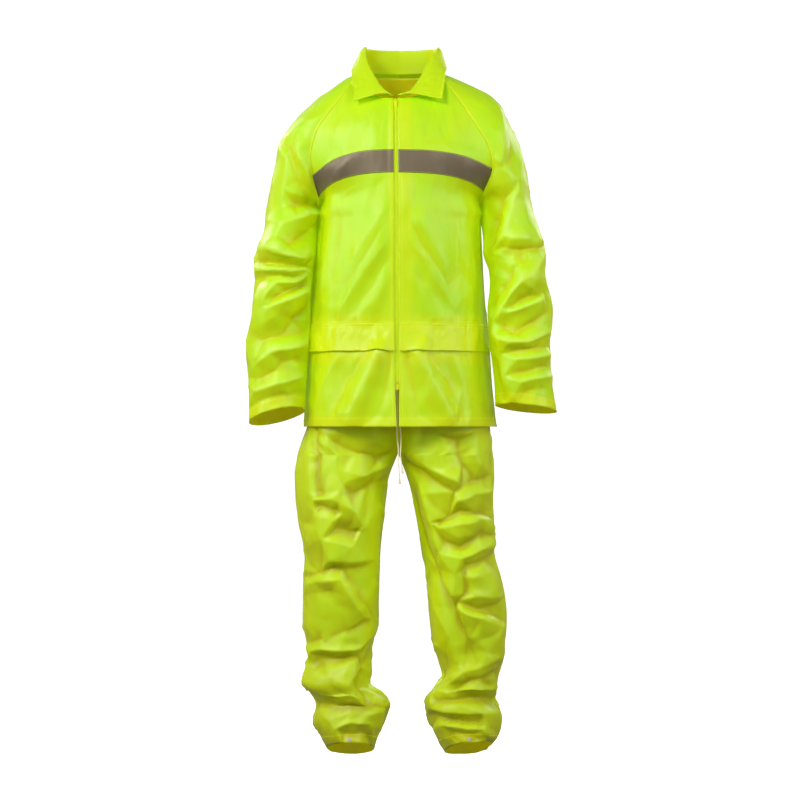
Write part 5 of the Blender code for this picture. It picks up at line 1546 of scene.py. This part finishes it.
def stitches(parts, path, pitch=3.2, length=2.3, width=0.6, lift=0.35, start=0.0):
    """Dashes of thread along a path (points, normals) lying in the cloth's face."""
    p, n = path
    run = run_of(p)
    at = np.arange(pitch * 0.6 + start, run[-1] - length, pitch)
    for a in at:
        mid, m, ends = [], [], []
        for k in (a, a + length):
            mid.append(np.array([np.interp(k, run, p[:, q]) for q in range(3)]))
            m.append(np.array([np.interp(k, run, n[:, q]) for q in range(3)]))
        way = mid[1] - mid[0]
        size = np.linalg.norm(way)
        if size < 0.5:
            continue
        way /= size
        nn = (m[0] + m[1]) / 2
        nn /= np.linalg.norm(nn)
        side = np.cross(nn, way)
        v = []
        for k, dip in ((0, 0.25), (1, 0.25)):
            for h in (-0.25, lift):
                for w in (-1, 1):
                    v.append(mid[k] + nn * h + side * w * width / 2 * (1 if h < 0 else 0.6) - (way if k else -way) * (0 if h < 0 else 0.3))
        parts.add(v, DASH_FACES)


FACES = {name: Face(c) for name, c in PIECES.items()}

# stitching in thread
thread_jacket, thread_legs, thread_collar = Parts(), Parts(), Parts()
for side in ("right", "left"):
    f, s, b = FACES[f"jacket_front_{side}"], FACES[f"sleeve_{side}"], FACES["jacket_back"]
    stitches(thread_jacket, f.beside(6.5, -1, 0.15, 17.9))
    stitches(thread_jacket, f.above_foot(17.0))
    stitches(thread_jacket, f.row(13, -3.0))
    for edge in (0, -1):
        stitches(thread_jacket, s.beside(2.6, edge, 0.15, 6.8), width=0.8, lift=0.45)
    stitches(thread_jacket, s.above_foot(21.0))
    stitches(thread_jacket, f.beside(2.4, 0, 7.3, 17.9))
stitches(thread_jacket, FACES["jacket_back"].above_foot(17.0))
stitches(thread_jacket, FACES["jacket_back"].row(13, -2.0))
for side in ("right", "left"):
    f, b = FACES[f"trouser_front_{side}"], FACES[f"trouser_back_{side}"]
    stitches(thread_legs, f.above_foot(19.0))
    stitches(thread_legs, b.above_foot(19.0))
    stitches(thread_legs, f.beside(2.6, -1, 0.5, 21.9))
    stitches(thread_legs, f.beside(2.6, 0, 0.3, 21.9))
f = FACES["collar"]
f.c.rows = np.arange(len(f.c.t), dtype=float)
cols = f.p.shape[1] - 1
edge_run = run_of(f.p[len(f.p) // 2])
back_j = np.interp(edge_run[-1] - 6.0, edge_run, np.arange(cols + 1))
ii = np.arange(2.0, len(f.p) - 2.0)
stitches(thread_collar, f.at(ii, np.full(len(ii), back_j)))
for end in (2.0, len(f.p) - 3.0):
    jj = np.arange(20.0, back_j)
    stitches(thread_collar, f.at(np.full(len(jj), end), jj))

# reflective bands and waist flaps, made from the fronts' own points
BANDS, FLAPS = {}, {}


def over(name, front, low, high, lift, thickness, mats, nodes, rows_count, wave=0.0, inset=0.0):
    """A strip that lies on the rows low to high of a front, lift(k) above it with k 0 at its top and 1 at its foot."""
    c = PIECES[front]
    f = FACES[front]
    i0, i1 = (np.interp(q, c.rows, np.arange(len(c.rows))) for q in (low, high))
    rows, cols = np.linspace(i0, i1, rows_count), np.arange(f.p.shape[1], dtype=float)
    ii, jj = np.meshgrid(rows, cols, indexing="ij")
    p, n = f.at(ii.ravel(), jj.ravel())
    p, n = p.reshape(*ii.shape, 3), n.reshape(*ii.shape, 3)
    k = np.linspace(0, 1, rows_count)[:, None]
    s = f._at(c.s, ii.ravel(), jj.ravel()).reshape(ii.shape)
    up = lift(k) + thickness + wave * k**1.5 * (0.5 + 0.5 * noise(s / 26 + 3, s * 0, 81))
    g = p + n * up[..., None]
    out = Cloth.__new__(Cloth)
    out.name, out.grid, out.n, out.closed = name, g, n, False
    out.d = np.zeros(ii.shape)
    out.calm = np.ones(ii.shape)
    out.double, out.shade = 0.75, 0
    out.s, out.t = s, f._at(c.t, ii.ravel(), jj.ravel()).reshape(ii.shape)
    out.rows = np.linspace(low, high, rows_count)
    ob = shell(name, out, thickness, mats, nodes)
    return out, ob


for side in ("right", "left"):
    front = f"jacket_front_{side}"
    BANDS[side], ob = over(f"reflective_tape_{side}", front, 5, 6, lambda k: 0.25 + 0 * k, 0.7, [TAPE_MAT, TAPE_MAT], [f"reflective_band_{side}"], 16)
    SHELLS[f"band_{side}"] = ob
    FLAPS[side], ob = over(f"waist_flap_{side}_cloth", front, 13, 14, lambda k: 0.4 + 3.2 * k**1.3, 1.5, [CLOTH_MAT, INSIDE_MAT], [f"waist_flap_{side}"], 26, wave=3.0)
    SHELLS[f"flap_{side}"] = ob
    fl = Face(FLAPS[side])
    stitches(thread_jacket, fl.row(13, 2.0))
    stitches(thread_jacket, fl.row(13, 8.0))
    bd = Face(BANDS[side])
    stitches(thread_jacket, bd.row(5, 1.6), lift=0.3)
    stitches(thread_jacket, bd.row(6, -1.6), lift=0.3)

THREADS = {
    "jacket": thread_jacket.make("jacket_stitching", "jacket_cloth", THREAD_MAT),
    "legs": thread_legs.make("trouser_stitching", "trouser_cloth", THREAD_MAT),
    "collar": thread_collar.make("collar_stitching", "collar_cloth", THREAD_MAT),
}

# ---------------------------------------------------------------- zip

CHAIN_WIDTH, CHAIN_DEPTH, TAPE_T, TAPE_DROP, CLOTH_WALL, TAPE_HIDDEN, ZIP_END = 4.6, 2.0, 1.0, 1.2, 1.5, 9.0, 15
zr = np.linspace(0, ZIP_END, 260)
zline = np.stack([column(BODY, BODY_COLUMNS, n, zr) for n in ("xz", "yf", "zf")], -1)
along = np.gradient(zline, axis=0)
zout = np.stack([0 * zr, along[:, 2], -along[:, 1]], -1)
zout /= np.linalg.norm(zout, axis=1)[:, None]
zline = zline - zout * (CLOTH_WALL + TAPE_DROP)
opening = column(BODY, BODY_COLUMNS, "half", zr)


def ribbon(name, left, right, out, thickness, mat, nodes, cells=6):
    """A flat woven strip between two lines of points."""
    k = np.linspace(0, 1, cells + 1)[None, :, None]
    g = left[:, None] * (1 - k) + right[:, None] * k
    n = np.repeat(out[:, None], cells + 1, axis=1)
    c = Cloth.__new__(Cloth)
    c.name, c.grid, c.n, c.closed = name, g, n, False
    c.d, c.calm = np.zeros(g.shape[:2]), np.ones(g.shape[:2])
    c.double = c.shade = 0
    c.s, c.t = unroll(g, 0)
    return shell(name, c, thickness, mat, nodes)


for side, sign in (("right", -1), ("left", 1)):
    hidden, free = zline - zout * TAPE_DROP, zline.copy()
    hidden = hidden + np.stack([sign * (opening + TAPE_HIDDEN), 0 * zr, 0 * zr], -1)
    free = free + np.array([sign * (CHAIN_WIDTH / 2 + 0.3), 0, 0])
    SHELLS[f"zip_{side}"] = ribbon(f"zip_tape_{side}_woven", hidden, free, zout, 0.9, ZIP_TAPE_MAT, [f"zip_tape_{side}"])

teeth = Parts()
run = run_of(zline)
pitch = 1.7
at = np.arange(0.8, run[-1] - 0.5, pitch / 2)
HEX = np.array([(math.cos(a), math.sin(a)) for a in np.arange(6) * math.pi / 3])
for k, a in enumerate(at):
    p = np.array([np.interp(a, run, zline[:, q]) for q in range(3)])
    o = np.array([np.interp(a, run, zout[:, q]) for q in range(3)])
    o /= np.linalg.norm(o)
    way = np.cross(np.array([1.0, 0, 0]), o)
    side = 1 if k % 2 else -1
    ring = [p + np.array([x, 0, 0]) + o * (0.5 + CHAIN_DEPTH / 2 - 1.0 + h * 0.85) + way * w * 0.52 for x in (-side * 0.5, side * CHAIN_WIDTH / 2 * 0.97) for w, h in HEX]
    teeth.add(ring, [tuple(range(6)), tuple(range(11, 5, -1))] + [(q, q + 6, (q + 1) % 6 + 6, (q + 1) % 6) for q in range(6)])
core_l, core_r = zline + [-CHAIN_WIDTH / 2 + 0.1, 0, 0] - zout * 0.35, zline + [CHAIN_WIDTH / 2 - 0.1, 0, 0] - zout * 0.35
ks = np.arange(0, 260, 4)
core = []
for q in ks:
    core += [core_l[q], core_r[q], core_l[q] - zout[q] * 0.5, core_r[q] - zout[q] * 0.5]
cf = []
for q in range(len(ks) - 1):
    a, b = q * 4, q * 4 + 4
    cf += [(a, a + 1, b + 1, b), (a + 2, b + 2, b + 3, a + 3), (a, b, b + 2, a + 2), (a + 1, a + 3, b + 3, b + 1)]
cf += [(0, 2, 3, 1), (len(core) - 4, len(core) - 3, len(core) - 1, len(core) - 2)]
teeth.add(core, cf)
ZIP_TEETH = teeth.make("zip_coil", "zip_tape", ZIP_MAT, ["zip_chain"])

# ---------------------------------------------------------------- casing

tops = {(s, b): leg(LEG_TABLES[s], np.zeros(60), np.linspace(0, 1, 60), b) for s in ("right", "left") for b in (False, True)}
ring = np.concatenate([tops["right", False], tops["right", True][::-1][1:], tops["left", True][1:], tops["left", False][::-1][1:-1]])
ring_run = run_of(np.concatenate([ring, ring[:1]]))
even_at = np.linspace(0, ring_run[-1], 361)
ring = np.stack([np.interp(even_at, ring_run, np.append(ring[:, q], ring[0, q])) for q in range(3)], -1)
rim_n = np.cross(np.gradient(ring, axis=0), [0, 0, 1.0])
rim_n /= np.linalg.norm(rim_n, axis=1)[:, None]
if np.mean(np.einsum("ij,ij->i", rim_n, ring - [0, 5, -445])) < 0:
    rim_n = -rim_n
rim_n[-1] = rim_n[0]
k = np.linspace(0, 1, 16)[:, None]
gather = 1.5 * np.sin(even_at / ring_run[-1] * 2 * math.pi * 58 + 1.2 * noise(even_at / 30, even_at * 0, 91)) * (0.3 + 0.7 * np.sin(k * math.pi))
body = ring[None] * np.stack([1 - 0.015 * k, 1 - 0.015 * k, 1 + 0 * k], -1) + np.stack([0 * k, 0 * k, 0.3 + 35.7 * k], -1) + rim_n[None] * (gather - 1.6)[..., None]
c = Cloth.__new__(Cloth)
c.name, c.grid, c.n, c.closed = "waist_casing", body, np.repeat(rim_n[None], 16, axis=0), True
c.grid[:, -1] = c.grid[:, 0]
c.d, c.calm = np.zeros(body.shape[:2]), np.ones(body.shape[:2])
c.s, c.t = unroll(c.grid, 0)
SHELLS["casing"] = shell("waist_casing_cloth", c, 1.2, [LEG_MAT, INSIDE_MAT], ["waist_casing"], wrap_from=0)

# ---------------------------------------------------------------- cord ends: an overhand knot and a frayed tail


for name, route in (("cord_right", CORD_RIGHT), ("cord_left", CORD_LEFT)):
    ob, q, real = CORDS[name]
    end = np.array(route[-1], float)
    way = end - np.array(route[-2], float)
    way /= np.linalg.norm(way)
    x = np.cross(way, [0, 1, 0])
    x /= np.linalg.norm(x)
    y = np.cross(way, x)
    tip = Parts()
    a = np.linspace(0, 2 * math.pi, 40)
    knot = [end + way * 2.6 + x * 0.62 * (math.sin(t) + 1.35 * math.sin(2 * t)) + y * 0.62 * (math.cos(t) - 1.35 * math.cos(2 * t)) + way * -0.95 * math.sin(3 * t) for t in a]
    tip.add(*tube_verts(knot, 0.95, 8))
    rng = np.random.RandomState(5 if name == "cord_right" else 6)
    for j in range(34):
        ang, rad = rng.uniform(0, 2 * math.pi), math.sqrt(rng.uniform(0, 1))
        flare = 1.2 + 2.1 * rng.uniform(0.6, 1)
        long = rng.uniform(10.0, 13.6)
        line = [end + way * (3.4 + k * (long - 3.4)) + (x * math.cos(ang + 0.5 * k) + y * math.sin(ang + 0.5 * k)) * rad * (0.8 + (flare - 0.8) * k) for k in np.linspace(0, 1, 6)]
        tip.add(*tube_verts(line, [0.44, 0.42, 0.4, 0.38, 0.34, 0.24], 5))
    side = name.split("_")[1]
    tip_ob = tip.make(f"cord_knot_{side}", "cord", CORD_MAT, [f"drawstring_end_{side}"], True)
    ob.data.materials.append(CORD_MAT)

# ---------------------------------------------------------------- hard pieces kept from the part

for node, mat, size in (("zip_slider", METAL_MAT, 0.4), ("zip_box", METAL_MAT, 0.5), ("zip_pull_tab", METAL_MAT, 0.25), ("hem_stud_right", STUD_MAT, 0.5), ("hem_stud_left", STUD_MAT, 0.5)):
    ob = bpy.data.objects[node]
    ob.data.materials.clear()
    ob.data.materials.append(mat)
    mod = ob.modifiers.new("soft_edges", "BEVEL")
    mod.width, mod.segments, mod.limit_method = size * MM, 2, "ANGLE"

# ---------------------------------------------------------------- loop triangles of each cloth


def cut(ob, held, rests_on=(), with_pieces=(), round_about=False):
    me = ob.data
    me.calc_loop_triangles()


cut(SHELLS["jacket_front_right"], "hung", [SHELLS["jacket_back"]], [THREADS["jacket"]])
cut(SHELLS["jacket_front_left"], "hung", [SHELLS["jacket_back"]])
cut(SHELLS["jacket_back"], "hung", [SHELLS["collar"]])
for side in ("right", "left"):
    cut(SHELLS[f"sleeve_{side}"], "hung", [SHELLS[f"jacket_front_{side}"]])
    cut(SHELLS[f"band_{side}"], "laid", [SHELLS[f"jacket_front_{side}"]])
    cut(SHELLS[f"flap_{side}"], "hung", [SHELLS[f"jacket_front_{side}"]])
    cut(SHELLS[f"zip_{side}"], "laid", [SHELLS[f"jacket_front_{side}"]])
    cut(SHELLS[f"trouser_front_{side}"], "hung", [SHELLS["casing"]], [THREADS["legs"]] if side == "right" else [])
    cut(SHELLS[f"trouser_back_{side}"], "hung", [SHELLS["casing"]])
cut(SHELLS["collar"], "folded", [SHELLS["jacket_back"]], [THREADS["collar"]])
cut(SHELLS["casing"], "gathered", [SHELLS["trouser_front_right"]])

# ---------------------------------------------------------------- stage

def sheet_of(name, corners, mat):
    me = bpy.data.meshes.new(name)
    me.from_pydata(corners, [], [(0, 1, 2, 3)])
    ob = bpy.data.objects.new(name, me)
    bpy.context.scene.collection.objects.link(ob)
    me.materials.append(mat)
    # what is behind and below gives no light of its own to the cloth: the lamps and the sky do
    ob.visible_diffuse = ob.visible_glossy = ob.visible_transmission = False
    return ob


floor_mat = plain_material("pale_floor", (0.90, 0.90, 0.895), rough=0.8, scale=400, bump=0.0, glow=0.92)
sheet_of("floor", [(-12, -12, -1.4625), (12, -12, -1.4625), (12, 5, -1.4625), (-12, 5, -1.4625)], floor_mat)
drop_mat = plain_material("lit_paper", (0.9, 0.9, 0.9), rough=0.9, scale=2, bump=0.0, glow=0.92)
for k, (ax, ay, bx, by) in enumerate(((-12, 5, 12, 5), (12, 5, 12, -12), (12, -12, -12, -12), (-12, -12, -12, 5))):
    sheet_of(f"backdrop_{k}", [(ax, ay, -1.4625), (bx, by, -1.4625), (bx, by, 9), (ax, ay, 9)], drop_mat)

bpy.context.scene.view_settings.view_transform = "Standard"
world = bpy.data.worlds.new("studio")
world.use_nodes = True
world.node_tree.nodes["Background"].inputs["Color"].default_value = (1, 1, 1, 1)
world.node_tree.nodes["Background"].inputs["Strength"].default_value = 0.15
bpy.context.scene.world = world


def lamp(name, place, target, size, power, colour=(1, 1, 1)):
    light = bpy.data.lights.new(name, "AREA")
    light.shape = "RECTANGLE"
    light.size, light.size_y = size
    light.energy = power
    light.color = colour
    ob = bpy.data.objects.new(name, light)
    bpy.context.scene.collection.objects.link(ob)
    ob.location = place
    ob.rotation_euler = (Vector(target) - Vector(place)).to_track_quat("-Z", "Y").to_euler()
    ob.visible_camera = False


lamp("key", (-1.7, -3.1, 1.4), (0, 0, -0.62), (0.9, 0.9), 68)
lamp("second", (1.9, -3.1, 1.0), (0, 0, -0.6), (0.9, 0.9), 26)
lamp("side_right", (-3.0, -1.5, 0.5), (0, 0, -0.6), (1.0, 2.0), 44)
lamp("side_left", (3.0, -1.4, 0.4), (0, 0, -0.55), (1.0, 2.0), 34)
lamp("behind_right", (-2.3, 2.4, 1.3), (0, 0, -0.6), (1.1, 1.1), 32)
lamp("behind_left", (2.3, 2.6, 1.0), (0, 0, -0.6), (1.1, 1.1), 22)
